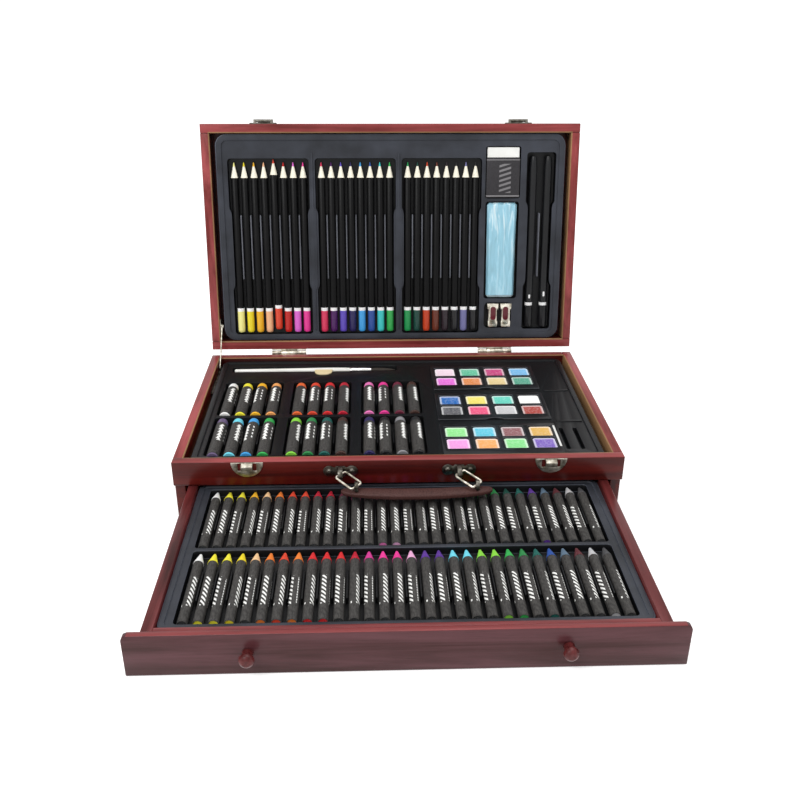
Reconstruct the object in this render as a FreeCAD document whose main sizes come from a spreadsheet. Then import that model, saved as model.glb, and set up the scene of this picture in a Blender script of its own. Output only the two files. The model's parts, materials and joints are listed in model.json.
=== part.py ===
"""Pencil drawer box: a wooden art case with a lift-up lid, a tray bay and a drawer.

The origin is the centre of the case's footprint on its underside, +Z is up, +X is to the right and the
front of the case looks along -Y.  Lengths are millimetres.  The case rests with its lid open and its
drawer pulled out.
"""
import FreeCAD, Part
import math
import os
import re
import Sketcher

from FreeCAD import Placement, Rotation, Vector

doc = FreeCAD.newDocument("pencil_drawer_box")

# ---------------------------------------------------------------------------------------------------
# Driving dimensions.  Each can be changed by itself.
# ---------------------------------------------------------------------------------------------------
SIZES = {
    # case boards and panels
    "case_width": 382, "case_depth": 230, "case_height": 57, "wall": 9, "front_height": 22.4,
    "bottom_thickness": 3.5, "rabbet": 4.5, "shelf_thickness": 3, "shelf_rise": 2, "groove_depth": 4,
    "play": 0.1, "seat": 0.15,
    # lid
    "lid_frame_depth": 21, "lid_panel_thickness": 3, "lid_open": 100, "hinge_offset": 4,
    # drawer box
    "drawer_back_gap": 23.5, "drawer_gap": 3.3, "drawer_wall": 8, "drawer_front_wall": 4,
    "drawer_headroom": 0.6, "drawer_lift": 0.3, "back_wall_extra": 2, "stop_gap": 0.3,
    "panel_thickness": 5, "panel_headroom": 0.2, "panel_lift": 0.5, "panel_gap": 0.2, "panel_corner": 4,
    "drawer_bottom_thickness": 2.5, "drawer_bottom_rise": 2, "drawer_groove": 3,
    "runner_clearance": 0.3, "runner_height": 10, "runner_rise": 12,
    "knob_spacing": 216, "knob_radius": 5.5, "knob_length": 11, "knob_raise": 1.05,
    # thermoformed trays
    "sheet": 1.2, "tray_play": 0.4, "tray_side_gap": 4.4, "lip_height": 1.2, "lip_width": 3.5,
    # drawer tray and crayons
    "drawer_tray_drop": 4, "crayon_count": 30, "crayon_side_gap": 12.41, "crayon_radius": 4.3,
    "crayon_cone": 12, "crayon_tip_radius": 1.1, "crayon_row_gap": 7.5,
    "crayon_front_gap": 9.5, "crayon_back_gap": 10.5, "crayon_drop": 2.4, "well_margin": 2,
    "crayon_rib_length": 12, "rib_width": 1.3, "crayon_rib_place": 20,
    # upper tray, pastels, brush and palettes
    "upper_tray_drop": 4.5, "pastel_radius": 5.6, "pastel_drop": 3.3,
    "pastel_side_gap": 11.6, "pastel_end": 17.5, "pastel_group_gap": 10.3,
    "pastel_front_gap": 11.5, "pastel_row_gap": 8, "pastel_brush_gap": 34.5, "pastel_rib_length": 20,
    "brush_side_gap": 13.6, "brush_back_gap": 20, "brush_drop": 2, "brush_handle_length": 119,
    "brush_butt_radius": 1.8, "brush_radius": 3.2, "ferrule_length": 22, "bristle_length": 25,
    "brush_well_width": 13, "notch_radius": 9, "notch_place": -72,
    "palette_left": 38.5, "palette_right_gap": 34.1, "palette_gap": 9.5, "palette_height": 7,
    "palette_front_gap": 6, "palette_back_gap": 19, "palette_sink": 6, "pan_wall": 5, "palette_rim": 3,
    "pan_row_wall": 3, "palette_brow": 12, "pan_row_shift": 2.5, "pan_sink": 4.5,
    "cake_height": 3.7, "cake_play": 0.3, "slot_width": 4, "slot_length": 40, "slot_side_gap": 23.1,
    "slot_gap": 12.6, "slot_sink": 5,
    # lid tray and what it holds; "up" is measured from the hinge axis along the lid, "deep" from its rim
    "lid_tray_deep": 4, "pencil_radius": 3.7, "pencil_top_gap": 28.5, "pencil_cone": 15,
    "pencil_up": 21.5, "pencil_deep": 7.3, "pencil_side_gap": 13.5, "pencil_right_gap": 87,
    "pencil_group_gap": 7.5, "pencil_rib_up": 75, "pencil_rib_length": 65,
    "ridge_height": 1.6, "ridge_width": 3,
    "extras_side_gap": 63.1, "eraser_width": 34, "eraser_length": 50, "eraser_bare": 10,
    "eraser_top_gap": 14, "wrap_top_gap": 5, "eraser_thickness": 8, "sleeve_thickness": 0.6,
    "wrap_width": 32.5, "wrap_up": 57, "wrap_thickness": 8.5, "wrap_round": 2,
    "sharpener_width": 12, "sharpener_length": 25, "sharpener_up": 25.5, "sharpener_thickness": 8,
    "sharpener_gap": 2, "sharpener_bore": 3.2, "sharpener_waist": 1.6, "blade_thickness": 0.6,
    "extras_floor": 12,
    "pen_radius": 4.4, "pen_top_gap": 23, "pen_cap_length": 25, "pen_up": 25, "pen_side_gap": 23.9,
    "pen_spacing": 15.2, "pen_deep": 8.2,
    # hinges
    "hinge_spacing": 220, "hinge_width": 36, "leaf_thickness": 1.2, "leaf_height": 16,
    "knuckle_radius": 2.6, "knuckle_gap": 0.3, "pin_radius": 1.2, "pin_play": 0.05, "end_knuckle": 9,
    # latches
    "latch_spacing": 256, "latch_plate_radius": 13.5, "latch_plate_thickness": 1, "latch_edge_gap": 0.4,
    "nib_width": 9.5, "nib_height": 5.5, "nib_proud": 3.4, "nib_drop": 0.6, "keeper_window": 3.2,
    "hasp_rise": 3.5, "hasp_width": 14, "hasp_length": 15.5, "hasp_thickness": 0.8, "barrel_radius": 1.5,
    "barrel_gap": 0.3, "latch_pin_radius": 0.6, "latch_pin_play": 0.08, "ear_width": 2.4,
    "hasp_window_start": 4, "hasp_window_end": 11, "hasp_window_width": 10.5, "tab_proud": 2,
    # handle
    "handle_spacing": 100, "handle_drop": 9.5, "mount_thickness": 1.2, "lobe_radius": 5,
    "lobe_place": 9.5, "mount_waist": 7, "eye_width": 4, "eye_radius": 3.5, "eye_wall": 1.1, "eye_reach": 5.2,
    "screw_head_radius": 2.9, "screw_head_height": 1.5, "screw_radius": 1.3, "screw_length": 8,
    "wire_radius": 0.9, "ring_length": 20, "ring_width": 11, "ring_bend": 2, "ring_tilt": 47,
    "ring_slope": 12, "grip_eye_width": 3, "grip_eye_radius": 3.05, "grip_drop": 3.3,
    "grip_length": 126, "grip_width": 12.5, "grip_end_width": 7, "grip_thickness": 6, "grip_bow": 3.5,
    "grip_taper": 6,
    # lid stay
    "stay_up": 28, "stay_deep": 6, "stay_foot_run": 23, "stay_foot_drop": 6, "stay_plate": 0.8,
    "stay_gap": 0.3, "stay_arm_thickness": 1, "stay_arm_width": 4, "stay_rivet_radius": 1.3,
    "stay_rivet_play": 0.1, "stay_eye_radius": 2.8, "stay_rivet_head": 2.2, "stay_foot_radius": 2.4,
    "stay_bracket_length": 16, "stay_bracket_width": 9,
    "ledge_width": 2.8, "ledge_run": 58, "ledge_height": 3,
}

# Sizes and places that follow from the driving ones.
PLACES = {
    "front": "-case_depth / 2",
    "back": "case_depth / 2",
    "inner_side": "case_width / 2 - wall",
    "inner_front": "wall - case_depth / 2",
    "inner_back": "case_depth / 2 - wall",
    "opening_top": "case_height - front_height",
    "shelf_low": "case_height - front_height + shelf_rise",
    "shelf_top": "case_height - front_height + shelf_rise + shelf_thickness",
    "tray_half": "case_width / 2 - wall - tray_side_gap",
    "hinge_depth": "case_depth / 2 + hinge_offset",
    "lid_top": "case_height + lid_frame_depth",
    "lid_reach": "inner_back - inner_front + hinge_offset + wall",
    "lid_shift": "hinge_depth * (1 - cos(lid_open * 1 deg)) - case_height * sin(lid_open * 1 deg)",
    "lid_raise": "case_height * (1 - cos(lid_open * 1 deg)) + hinge_depth * sin(lid_open * 1 deg)",
    "drawer_length": "case_depth - drawer_back_gap",
    "drawer_width": "2 * (inner_side - drawer_gap)",
    "drawer_travel": "drawer_length - drawer_wall - wall - stop_gap",
    "drawer_floor": "bottom_thickness + drawer_lift",
    "drawer_side_height": "opening_top - drawer_headroom - drawer_floor",
    "drawer_deck": "drawer_floor + drawer_bottom_rise + drawer_bottom_thickness",
    "drawer_inner": "drawer_width / 2 - drawer_wall",
    "panel_height": "opening_top - panel_headroom - panel_lift",
    "knob_rise": "panel_lift + panel_height / 2 + knob_raise",
    "drawer_tray_face": "drawer_floor + drawer_side_height - drawer_tray_drop",
    "crayon_axis": "drawer_tray_face - crayon_drop",
    "crayon_pitch": "2 * (drawer_inner - crayon_side_gap - crayon_radius) / (crayon_count - 1)",
    "crayon_row_start": "drawer_wall_back + crayon_front_gap",
    "crayon_length": "(drawer_length - drawer_wall - crayon_back_gap - crayon_row_start - crayon_row_gap)"
                     " / 2",
    "crayon_row_pitch": "crayon_length + crayon_row_gap",
    "upper_tray_face": "case_height - upper_tray_drop",
    "pastel_axis": "upper_tray_face - pastel_drop",
    "pastel_start": "pastel_side_gap + pastel_radius - tray_half",
    "pastel_pitch": "(pastel_end - pastel_start - 2 * pastel_group_gap) / 11",
    "pastel_group_pitch": "4 * pastel_pitch + pastel_group_gap",
    "brush_start": "brush_side_gap - tray_half",
    "brush_place": "inner_back - brush_back_gap",
    "brush_axis": "upper_tray_face - brush_drop",
    "pastel_length": "(brush_place - pastel_brush_gap - inner_front - pastel_front_gap"
                     " - pastel_row_gap) / 2",
    "pastel_front_row": "inner_front + pastel_front_gap + pastel_length / 2",
    "pastel_back_row": "pastel_front_row + pastel_length + pastel_row_gap",
    "palette_width": "tray_half - palette_right_gap - palette_left",
    "palette_centre": "palette_left + palette_width / 2",
    "palette_depth": "(inner_back - inner_front - palette_front_gap - palette_back_gap"
                     " - 2 * palette_gap) / 3",
    "palette_pitch": "palette_depth + palette_gap",
    "palette_back": "inner_back - palette_back_gap - palette_depth / 2",
    "palette_base": "upper_tray_face - palette_sink",
    "pan_pitch": "(palette_width - palette_rim) / 4",
    "pan_width": "pan_pitch - pan_wall",
    "pan_row_pitch": "(palette_depth - palette_brow) / 2",
    "pan_depth": "pan_row_pitch - pan_row_wall",
    "slot_place": "tray_half - slot_side_gap",
    "pencil_start": "pencil_side_gap + pencil_radius - tray_half",
    "pencil_pitch": "(tray_half - pencil_right_gap - pencil_radius - pencil_start"
                    " - 2 * pencil_group_gap) / 23",
    "pencil_group_pitch": "8 * pencil_pitch + pencil_group_gap",
    "pencil_length": "lid_reach - pencil_top_gap - pencil_up",
    "extras_centre": "tray_half - extras_side_gap",
    "eraser_up": "lid_reach - eraser_top_gap - eraser_length",
    "wrap_length": "eraser_up - wrap_top_gap - wrap_up",
    "pen_length": "lid_reach - pen_top_gap - pen_up",
    "pen_centre": "tray_half - pen_side_gap",
    "stay_foot_depth": "hinge_depth - stay_foot_run",
    "stay_foot_height": "case_height - stay_foot_drop",
    "ledge_front": "stay_foot_depth - ledge_run",
    "handle_height": "case_height - handle_drop",
    "drawer_wall_back": "panel_thickness + drawer_front_wall",
    "latch_axis_out": "latch_plate_thickness + barrel_gap + barrel_radius",
    "latch_axis_height": "case_height + hasp_rise",
    "handle_axis_out": "mount_thickness + eye_reach",
    "ring_shift": "ring_length * cos(ring_tilt * 1 deg)",
    "grip_axis_out": "mount_thickness + eye_reach + ring_length * sin(ring_tilt * 1 deg)"
                     " * cos(ring_slope * 1 deg)",
    "grip_axis_height": "handle_height - ring_length * sin(ring_tilt * 1 deg) * sin(ring_slope * 1 deg)",
}

sizes = doc.addObject("Spreadsheet::Sheet", "sizes")
for row, (name, value) in enumerate(SIZES.items(), start=1):
    sizes.set(f"A{row}", name)
    sizes.set(f"B{row}", str(value))
    sizes.setAlias(f"B{row}", name)
doc.recompute()

NAME = re.compile(r"[a-z]+(?:_[a-z]+)*")


def bound(text):
    """The expression with each size or place given its sheet's name."""
    def with_sheet(found):
        word = found.group()
        if word in SIZES:
            return "sizes." + word
        return "places." + word if word in PLACES else word
    return NAME.sub(with_sheet, str(text))


places = doc.addObject("Spreadsheet::Sheet", "places")
for row, (name, formula) in enumerate(PLACES.items(), start=1):
    places.set(f"A{row}", name)
    places.set(f"B{row}", "=" + bound(formula).replace("places.", ""))
    places.setAlias(f"B{row}", name)
doc.recompute()


def number(name):
    """The value of a size or a place."""
    value = getattr(sizes if name in SIZES else places, name)
    return float(getattr(value, "Value", value))


# ---------------------------------------------------------------------------------------------------
# Helpers: primitives, turned and padded bodies, booleans and nodes
# ---------------------------------------------------------------------------------------------------
TURNS = {"Z": None, "X": ((0, 1, 0), 90), "Y": ((1, 0, 0), -90), "-Y": ((1, 0, 0), 90),
         "-Z": ((1, 0, 0), 180)}
count = {}


def new(kind, label):
    """A document object with a label that no other has."""
    count[label] = count.get(label, 0) + 1
    thing = doc.addObject(kind, label if count[label] == 1 else f"{label}_{count[label]}")
    return thing


def put(thing, at, along="Z"):
    """Place a thing, its own Z axis turned along the one named."""
    if TURNS[along]:
        axis, angle = TURNS[along]
        thing.Placement = Placement(Vector(0, 0, 0), Rotation(Vector(*axis), angle))
    for letter, expression in zip("xyz", at):
        thing.setExpression(f"Placement.Base.{letter}", bound(expression))
    return thing


def box(label, low, high):
    """A box from its lowest to its highest corner."""
    thing = new("Part::Box", label)
    for side, start, end in zip(("Length", "Width", "Height"), low, high):
        thing.setExpression(side, bound(f"({end}) - ({start})"))
    return put(thing, low)


def rod(label, radius, length, at, along="Z"):
    thing = new("Part::Cylinder", label)
    thing.setExpression("Radius", bound(radius))
    thing.setExpression("Height", bound(length))
    return put(thing, at, along)


def prism(label, corners, radius, length, at, along="Z"):
    thing = new("Part::Prism", label)
    thing.Polygon = corners
    thing.setExpression("Circumradius", bound(radius))
    thing.setExpression("Height", bound(length))
    return put(thing, at, along)


def small_rod(label, radius, length, at, along="Z"):
    """A small round part as a twelve-sided prism, its corners on the radius."""
    return prism(label, 12, radius, length, at, along)


def bore(label, radius, length, at, along="Z"):
    """A small hole as a twelve-sided prism, its flats on the radius."""
    return prism(label, 12, f"({radius}) / cos(15 deg)", length, at, along)


def fuse(label, *shapes):
    thing = new("Part::MultiFuse", label)
    thing.Shapes = list(shapes)
    thing.Refine = True
    return thing


def cut(label, base, *tools):
    thing = new("Part::Cut", label)
    thing.Base = base
    thing.Tool = tools[0] if len(tools) == 1 else fuse(label + "_tools", *tools)
    return thing


def common(label, *shapes):
    thing = new("Part::MultiCommon", label)
    thing.Shapes = list(shapes)
    return thing


def outline(body, plane, points):
    """A closed sketch of straight lines on one of the body's own planes, each corner bound to the sheet."""
    sketch = body.newObject("Sketcher::SketchObject", body.Name + "_sketch")
    origin_plane = [item for item in body.Origin.OriginFeatures if item.Role == plane][0]
    sketch.AttachmentSupport = [(origin_plane, "")]
    sketch.MapMode = "FlatFace"
    corners = [Vector(body.evalExpression(bound(across)), body.evalExpression(bound(up)), 0)
               for across, up in points]
    for index, corner in enumerate(corners):
        following = corners[(index + 1) % len(corners)]
        sketch.addGeometry(Part.LineSegment(corner, following), False)
    for index in range(len(corners)):
        sketch.addConstraint(Sketcher.Constraint("Coincident", index, 2, (index + 1) % len(corners), 1))
    for index, (across, up) in enumerate(points):
        for kind, expression in (("DistanceX", across), ("DistanceY", up)):
            value = body.evalExpression(bound(expression))
            place = sketch.addConstraint(Sketcher.Constraint(kind, -1, 1, index, 1, float(value)))
            sketch.setExpression(f"Constraints[{place}]", bound(expression))
    return sketch


def padded(label, plane, points, thickness, at=("0", "0", "0")):
    """A body padded from an outline; the pad is centred on the sketch's plane."""
    body = new("PartDesign::Body", label)
    pad = body.newObject("PartDesign::Pad", label + "_pad")
    pad.Profile = outline(body, plane, points)
    pad.Midplane = True
    pad.setExpression("Length", bound(thickness))
    body.Tip = pad
    return put(body, at)


def skin(loops, closed=False):
    """A solid of flat faces through loops of points; closed joins the last loop to the first."""
    faces = []
    pairs = list(zip(loops, loops[1:])) + ([(loops[-1], loops[0])] if closed else [])
    for near, far in pairs:
        for index in range(len(near)):
            following = (index + 1) % len(near)
            corners = [near[index], near[following], far[following], far[index]]
            normal = (corners[1] - corners[0]).cross(corners[2] - corners[0])
            flat = abs(normal.normalize().dot(corners[3] - corners[0])) < 1e-6
            parts = [corners] if flat else [corners[:3], [corners[0], corners[2], corners[3]]]
            for points in parts:
                faces.append(Part.Face(Part.makePolygon(points + points[:1])))
    if not closed:
        faces += [Part.Face(Part.makePolygon(loop + loop[:1])) for loop in (loops[0], loops[-1])]
    solid = Part.makeSolid(Part.makeShell(faces))
    if solid.Volume < 0:
        solid.reverse()
    return solid


def spindle(stations, facets):
    """A many-sided solid about its own Z axis from (radius, height) stations."""
    return skin([[Vector(radius * math.cos(math.tau * (k + 0.5) / facets),
                         radius * math.sin(math.tau * (k + 0.5) / facets), height) for k in range(facets)]
                 for radius, height in stations])


def set_at(label, solid, spots, along="Z"):
    """Copies of a solid at places given as expressions, as one object of separate solids."""
    turn = Rotation(Vector(*TURNS[along][0]), TURNS[along][1]) if TURNS[along] else Rotation()
    shapes = []
    for spot in spots:
        shape = solid.copy()
        place = Vector(*(float(sizes.evalExpression(bound(axis))) for axis in spot))
        shape.Placement = Placement(place, turn)
        shapes.append(shape)
    thing = new("Part::Feature", label)
    thing.Shape = shapes[0] if len(shapes) == 1 else Part.makeCompound(shapes)
    return thing


NODES = []


def node(label, *shapes, frame="case"):
    """A named sub-part.  Lid pieces are drawn shut and drawer pieces pushed in, then set as they rest."""
    thing = doc.addObject("Part::Compound", label)
    thing.Label = label
    thing.Links = list(shapes)
    if frame == "lid":
        thing.Placement = Placement(Vector(0, 0, 0), Rotation(Vector(-1, 0, 0), number("lid_open")))
        thing.setExpression("Placement.Rotation.Angle", bound("lid_open * 1 deg"))
        thing.setExpression("Placement.Base.y", bound("lid_shift"))
        thing.setExpression("Placement.Base.z", bound("lid_raise"))
    if frame == "drawer":
        thing.setExpression("Placement.Base.y", bound("-drawer_travel"))
    NODES.append(thing)
    return thing


# ---------------------------------------------------------------------------------------------------
# Case: boards, bottom, shelf and drawer runners
# ---------------------------------------------------------------------------------------------------
def side_board(hand):
    """A side board, set back below the front board for the drawer's panel, with a groove for the shelf
    and a rabbet for the bottom; hand is 1 on the right and -1 on the left."""
    profile = [("front + panel_thickness + panel_gap", "0"), ("back", "0"), ("back", "case_height"),
               ("inner_front", "case_height"), ("inner_front", "opening_top"),
               ("front + panel_thickness + panel_gap", "opening_top")]
    board = padded("side_board", "YZ_Plane", profile, "wall",
                   at=(f"{hand} * (inner_side + wall / 2)", "0", "0"))

    def across(depth):
        """The X ends, low then high, of a cut this deep into the board's inner face."""
        ends = ("inner_side", f"inner_side + {depth}")
        return ends if hand > 0 else (f"-({ends[1]})", f"-({ends[0]})")

    groove, lap = across("groove_depth"), across("rabbet")
    shelf_groove = box("shelf_groove", (groove[0], "inner_front", "shelf_low - play"),
                       (groove[1], "inner_back + groove_depth", "shelf_top + play"))
    bottom_rabbet = box("bottom_rabbet", (lap[0], "front", "0"),
                        (lap[1], "inner_back + rabbet", "bottom_thickness"))
    return cut("side_board_cut", board, shelf_groove, bottom_rabbet)


def make_case():
    node("side_boards", side_board(-1), side_board(1))

    front = box("front_blank", ("-case_width / 2", "front", "opening_top"),
                ("case_width / 2", "inner_front", "case_height"))
    groove = box("front_groove",
                 ("-inner_side - groove_depth", "inner_front - groove_depth", "shelf_low - play"),
                 ("inner_side + groove_depth", "inner_front", "shelf_top + play"))
    node("front_board", cut("front_board_cut", front, groove))

    back = box("back_blank", ("-inner_side", "inner_back", "0"), ("inner_side", "back", "case_height"))
    back_groove = box("back_groove", ("-inner_side", "inner_back", "shelf_low - play"),
                      ("inner_side", "inner_back + groove_depth", "shelf_top + play"))
    back_rabbet = box("back_rabbet", ("-inner_side", "inner_back", "0"),
                      ("inner_side", "inner_back + rabbet", "bottom_thickness"))
    node("back_board", cut("back_board_cut", back, back_groove, back_rabbet))

    node("bottom_panel", box("bottom_blank",
                             ("-inner_side - rabbet + play", "front + panel_thickness + panel_gap", "0"),
                             ("inner_side + rabbet - play", "inner_back + rabbet - play",
                              "bottom_thickness")))
    node("shelf_panel", box("shelf_blank",
                            ("-inner_side - groove_depth + play", "inner_front - groove_depth + play",
                             "shelf_low"),
                            ("inner_side + groove_depth - play", "inner_back + groove_depth - play",
                             "shelf_top")))
    runners = []
    for low, high in (("-inner_side", "-drawer_width / 2 - runner_clearance"),
                      ("drawer_width / 2 + runner_clearance", "inner_side")):
        runners.append(box("runner", (low, "inner_front", "runner_rise"),
                           (high, "inner_back", "runner_rise + runner_height")))
    node("drawer_runners", *runners)


# ---------------------------------------------------------------------------------------------------
# Thermoformed trays: a face sheet with wells hung from it, a raised lip and a skirt that stands on what
# carries the tray
# ---------------------------------------------------------------------------------------------------
def formed_tray(label, low, high, face, seat, wells, extras=(), openings=(), up=1):
    """A tray of sheet from its corner low to high.  Each well is (low x, low y, high x, high y, floor).
    up is 1 for a tray that looks up and -1 for one that looks down, as the lid's does when shut."""
    (x0, y0), (x1, y1) = low, high

    def slab(name, x_low, y_low, x_high, y_high, near, far):
        """A box whose near height is towards the tray's open side."""
        bottom, top = (far, near) if up > 0 else (near, far)
        return box(name, (x_low, y_low, bottom), (x_high, y_high, top))

    sign = "-" if up > 0 else "+"
    plus = "+" if up > 0 else "-"
    blank = slab("blank", x0, y0, x1, y1, f"{face} {plus} lip_height", seat)
    basin = slab("basin", f"{x0} + lip_width", f"{y0} + lip_width", f"{x1} - lip_width", f"{y1} - lip_width",
                 f"{face} {plus} lip_height", face)
    hollow = slab("hollow", f"{x0} + sheet", f"{y0} + sheet", f"{x1} - sheet", f"{y1} - sheet",
                  f"{face} {sign} sheet", seat)
    shell = cut(label + "_shell", blank, basin, hollow)
    hung, dug = [], []
    for x_low, y_low, x_high, y_high, floor in wells:
        hung.append(slab("hung", f"{x_low} - sheet", f"{y_low} - sheet", f"{x_high} + sheet",
                         f"{y_high} + sheet", face, f"{floor} {sign} sheet"))
        dug.append(slab("dug", x_low, y_low, x_high, y_high, f"{face} {plus} lip_height", floor))
    return fuse(label + "_whole", cut(label + "_wells", fuse(label + "_hung", shell, *hung), *dug, *openings),
                *extras)


def make_upper_tray():
    face, floor = "upper_tray_face", "pastel_axis - pastel_radius - seat"
    wells, ribs = [], []
    for group in range(3):
        start = f"pastel_start + {group} * pastel_group_pitch"
        for row in ("pastel_back_row", "pastel_front_row"):
            wells.append((f"{start} - pastel_radius - well_margin",
                          f"{row} - pastel_length / 2 - well_margin",
                          f"{start} + 3 * pastel_pitch + pastel_radius + well_margin",
                          f"{row} + pastel_length / 2 + well_margin", floor))
            for gap in range(3):
                middle = f"{start} + ({gap} + 0.5) * pastel_pitch"
                ribs.append(box("pastel_rib", (f"{middle} - rib_width / 2", f"{row} - pastel_rib_length / 2",
                                               floor),
                                (f"{middle} + rib_width / 2", f"{row} + pastel_rib_length / 2",
                                 "pastel_axis + pastel_radius / 2")))
    for index in range(3):
        middle = f"palette_back - {index} * palette_pitch"
        wells.append(("palette_centre - palette_width / 2 - seat", f"{middle} - palette_depth / 2 - seat",
                      "palette_centre + palette_width / 2 + seat", f"{middle} + palette_depth / 2 + seat",
                      "palette_base"))
    wells.append(("brush_start - well_margin", "brush_place - brush_well_width / 2",
                  "brush_start + brush_handle_length + ferrule_length + bristle_length + well_margin",
                  "brush_place + brush_well_width / 2", "brush_axis - brush_radius - seat"))
    wells.append(("notch_place - notch_radius", "brush_place - brush_well_width / 2 - notch_radius",
                  "notch_place + notch_radius", "brush_place - brush_well_width / 2",
                  "brush_axis - brush_radius - seat"))
    slots = []
    for side in (-0.5, 0.5):
        middle = f"slot_place + {side} * slot_gap"
        slots.append((f"{middle} - slot_width / 2", "palette_back - 2 * palette_pitch - slot_length / 2",
                      f"{middle} + slot_width / 2", "palette_back - 2 * palette_pitch + slot_length / 2",
                      f"{face} - slot_sink"))
    tray = formed_tray("upper_tray", ("-tray_half", "inner_front + tray_play"),
                       ("tray_half", "inner_back - tray_play"), face, "shelf_top + seat", wells + slots, ribs)
    node("upper_tray", tray)


def make_pastels():
    for label, row in (("pastels_back_row", "pastel_back_row"), ("pastels_front_row", "pastel_front_row")):
        sticks = []
        for group in range(3):
            for column in range(4):
                across = f"pastel_start + {group} * pastel_group_pitch + {column} * pastel_pitch"
                sticks.append(prism("pastel", 12, "pastel_radius", "pastel_length",
                                    (across, f"{row} - pastel_length / 2", "pastel_axis"), along="Y"))
        node(label, *sticks)


def make_brush():
    butt, thick, sides = number("brush_butt_radius"), number("brush_radius"), 12
    handle, ferrule, hair = number("brush_handle_length"), number("ferrule_length"), number("bristle_length")
    neck = thick * 0.8
    for label, stations, start in (
            ("brush_handle", [(butt * 0.6, 0), (butt, butt), (thick, handle * 0.8), (thick, handle)],
             "brush_start"),
            ("brush_ferrule", [(thick, 0), (neck, ferrule * 0.7), (neck, ferrule)],
             "brush_start + brush_handle_length"),
            ("brush_bristles", [(neck * 0.96, 0), (neck * 0.9, hair * 0.5), (neck * 0.2, hair)],
             "brush_start + brush_handle_length + ferrule_length")):
        node(label, set_at(label + "_body", spindle(stations, sides), [(start, "brush_place", "brush_axis")],
                           along="X"))


def make_palettes():
    palettes, cakes = [], []
    for index in range(3):
        middle = f"palette_back - {index} * palette_pitch"
        blank = box("palette_blank", ("palette_centre - palette_width / 2", f"{middle} - palette_depth / 2",
                                      "palette_base"),
                    ("palette_centre + palette_width / 2", f"{middle} + palette_depth / 2",
                     "palette_base + palette_height"))
        pans = []
        for row in (-0.5, 0.5):
            for column in (-1.5, -0.5, 0.5, 1.5):
                x = f"palette_centre + {column} * pan_pitch"
                y = f"{middle} + pan_row_shift + {row} * pan_row_pitch"
                pans.append(box("pan", (f"{x} - pan_width / 2", f"{y} - pan_depth / 2",
                                        "palette_base + palette_height - pan_sink"),
                                (f"{x} + pan_width / 2", f"{y} + pan_depth / 2",
                                 "palette_base + palette_height")))
                cakes.append(box("cake", (f"{x} - pan_width / 2 + cake_play",
                                          f"{y} - pan_depth / 2 + cake_play",
                                          "palette_base + palette_height - pan_sink"),
                                 (f"{x} + pan_width / 2 - cake_play", f"{y} + pan_depth / 2 - cake_play",
                                  "palette_base + palette_height - pan_sink + cake_height")))
        palettes.append(cut("palette", blank, *pans))
    node("paint_palettes", *palettes)
    node("paint_cakes", *cakes)


# ---------------------------------------------------------------------------------------------------
# Drawer, drawn pushed in
# ---------------------------------------------------------------------------------------------------
def make_drawer():
    top = "drawer_floor + drawer_side_height"
    c = "panel_corner"
    left, right = "-case_width / 2", "case_width / 2"
    low, high = "panel_lift", "panel_lift + panel_height"
    profile = [(left, low), (right, low), (right, f"{high} - {c}"),
               (f"{right} - {c} * 0.3", f"{high} - {c} * 0.3"), (f"{right} - {c}", high),
               (f"{left} + {c}", high), (f"{left} + {c} * 0.3", f"{high} - {c} * 0.3"),
               (left, f"{high} - {c}")]
    node("drawer_panel", padded("drawer_panel_pad", "XZ_Plane", profile, "panel_thickness",
                                at=("0", "front + panel_thickness / 2", "0")), frame="drawer")
    node("drawer_front_wall", box("inner_front_wall",
                                  ("-drawer_inner", "front + panel_thickness", "drawer_floor"),
                                  ("drawer_inner", "front + drawer_wall_back", top)), frame="drawer")
    sides = []
    deck_low, deck_high = "drawer_floor + drawer_bottom_rise", "drawer_deck"
    for low_x, high_x, groove_low, groove_high in (
            ("-drawer_width / 2", "-drawer_inner", "-drawer_inner - drawer_groove", "-drawer_inner"),
            ("drawer_inner", "drawer_width / 2", "drawer_inner", "drawer_inner + drawer_groove")):
        side = box("drawer_side", (low_x, "front + panel_thickness", "drawer_floor"),
                   (high_x, "front + drawer_length", top))
        groove = box("deck_groove", (groove_low, "front + drawer_wall_back", f"{deck_low} - play"),
                     (groove_high, "front + drawer_length - drawer_wall", f"{deck_high} + play"))
        sides.append(cut("drawer_side_cut", side, groove))
    node("drawer_sides", *sides, frame="drawer")
    node("drawer_back_wall", box("inner_back_wall",
                                 ("-drawer_inner", "front + drawer_length - drawer_wall", "drawer_floor"),
                                 ("drawer_inner", "front + drawer_length", f"{top} + back_wall_extra")),
         frame="drawer")
    node("drawer_bottom", box("deck", ("-drawer_inner - drawer_groove + play", "front + drawer_wall_back",
                                       deck_low),
                              ("drawer_inner + drawer_groove - play", "front + drawer_length - drawer_wall",
                               deck_high)), frame="drawer")
    round_end, long = number("knob_radius"), number("knob_length")
    knob = spindle([(round_end * 0.75, 0), (round_end * 0.6, long * 0.3), (round_end, long * 0.6),
                    (round_end * 0.88, long * 0.85), (round_end * 0.5, long)], 16)
    knobs = set_at("knobs", knob, [(f"{side} * knob_spacing / 2", "front", "knob_rise") for side in (-1, 1)],
                   along="-Y")
    node("drawer_knobs", knobs, frame="drawer")


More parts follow.
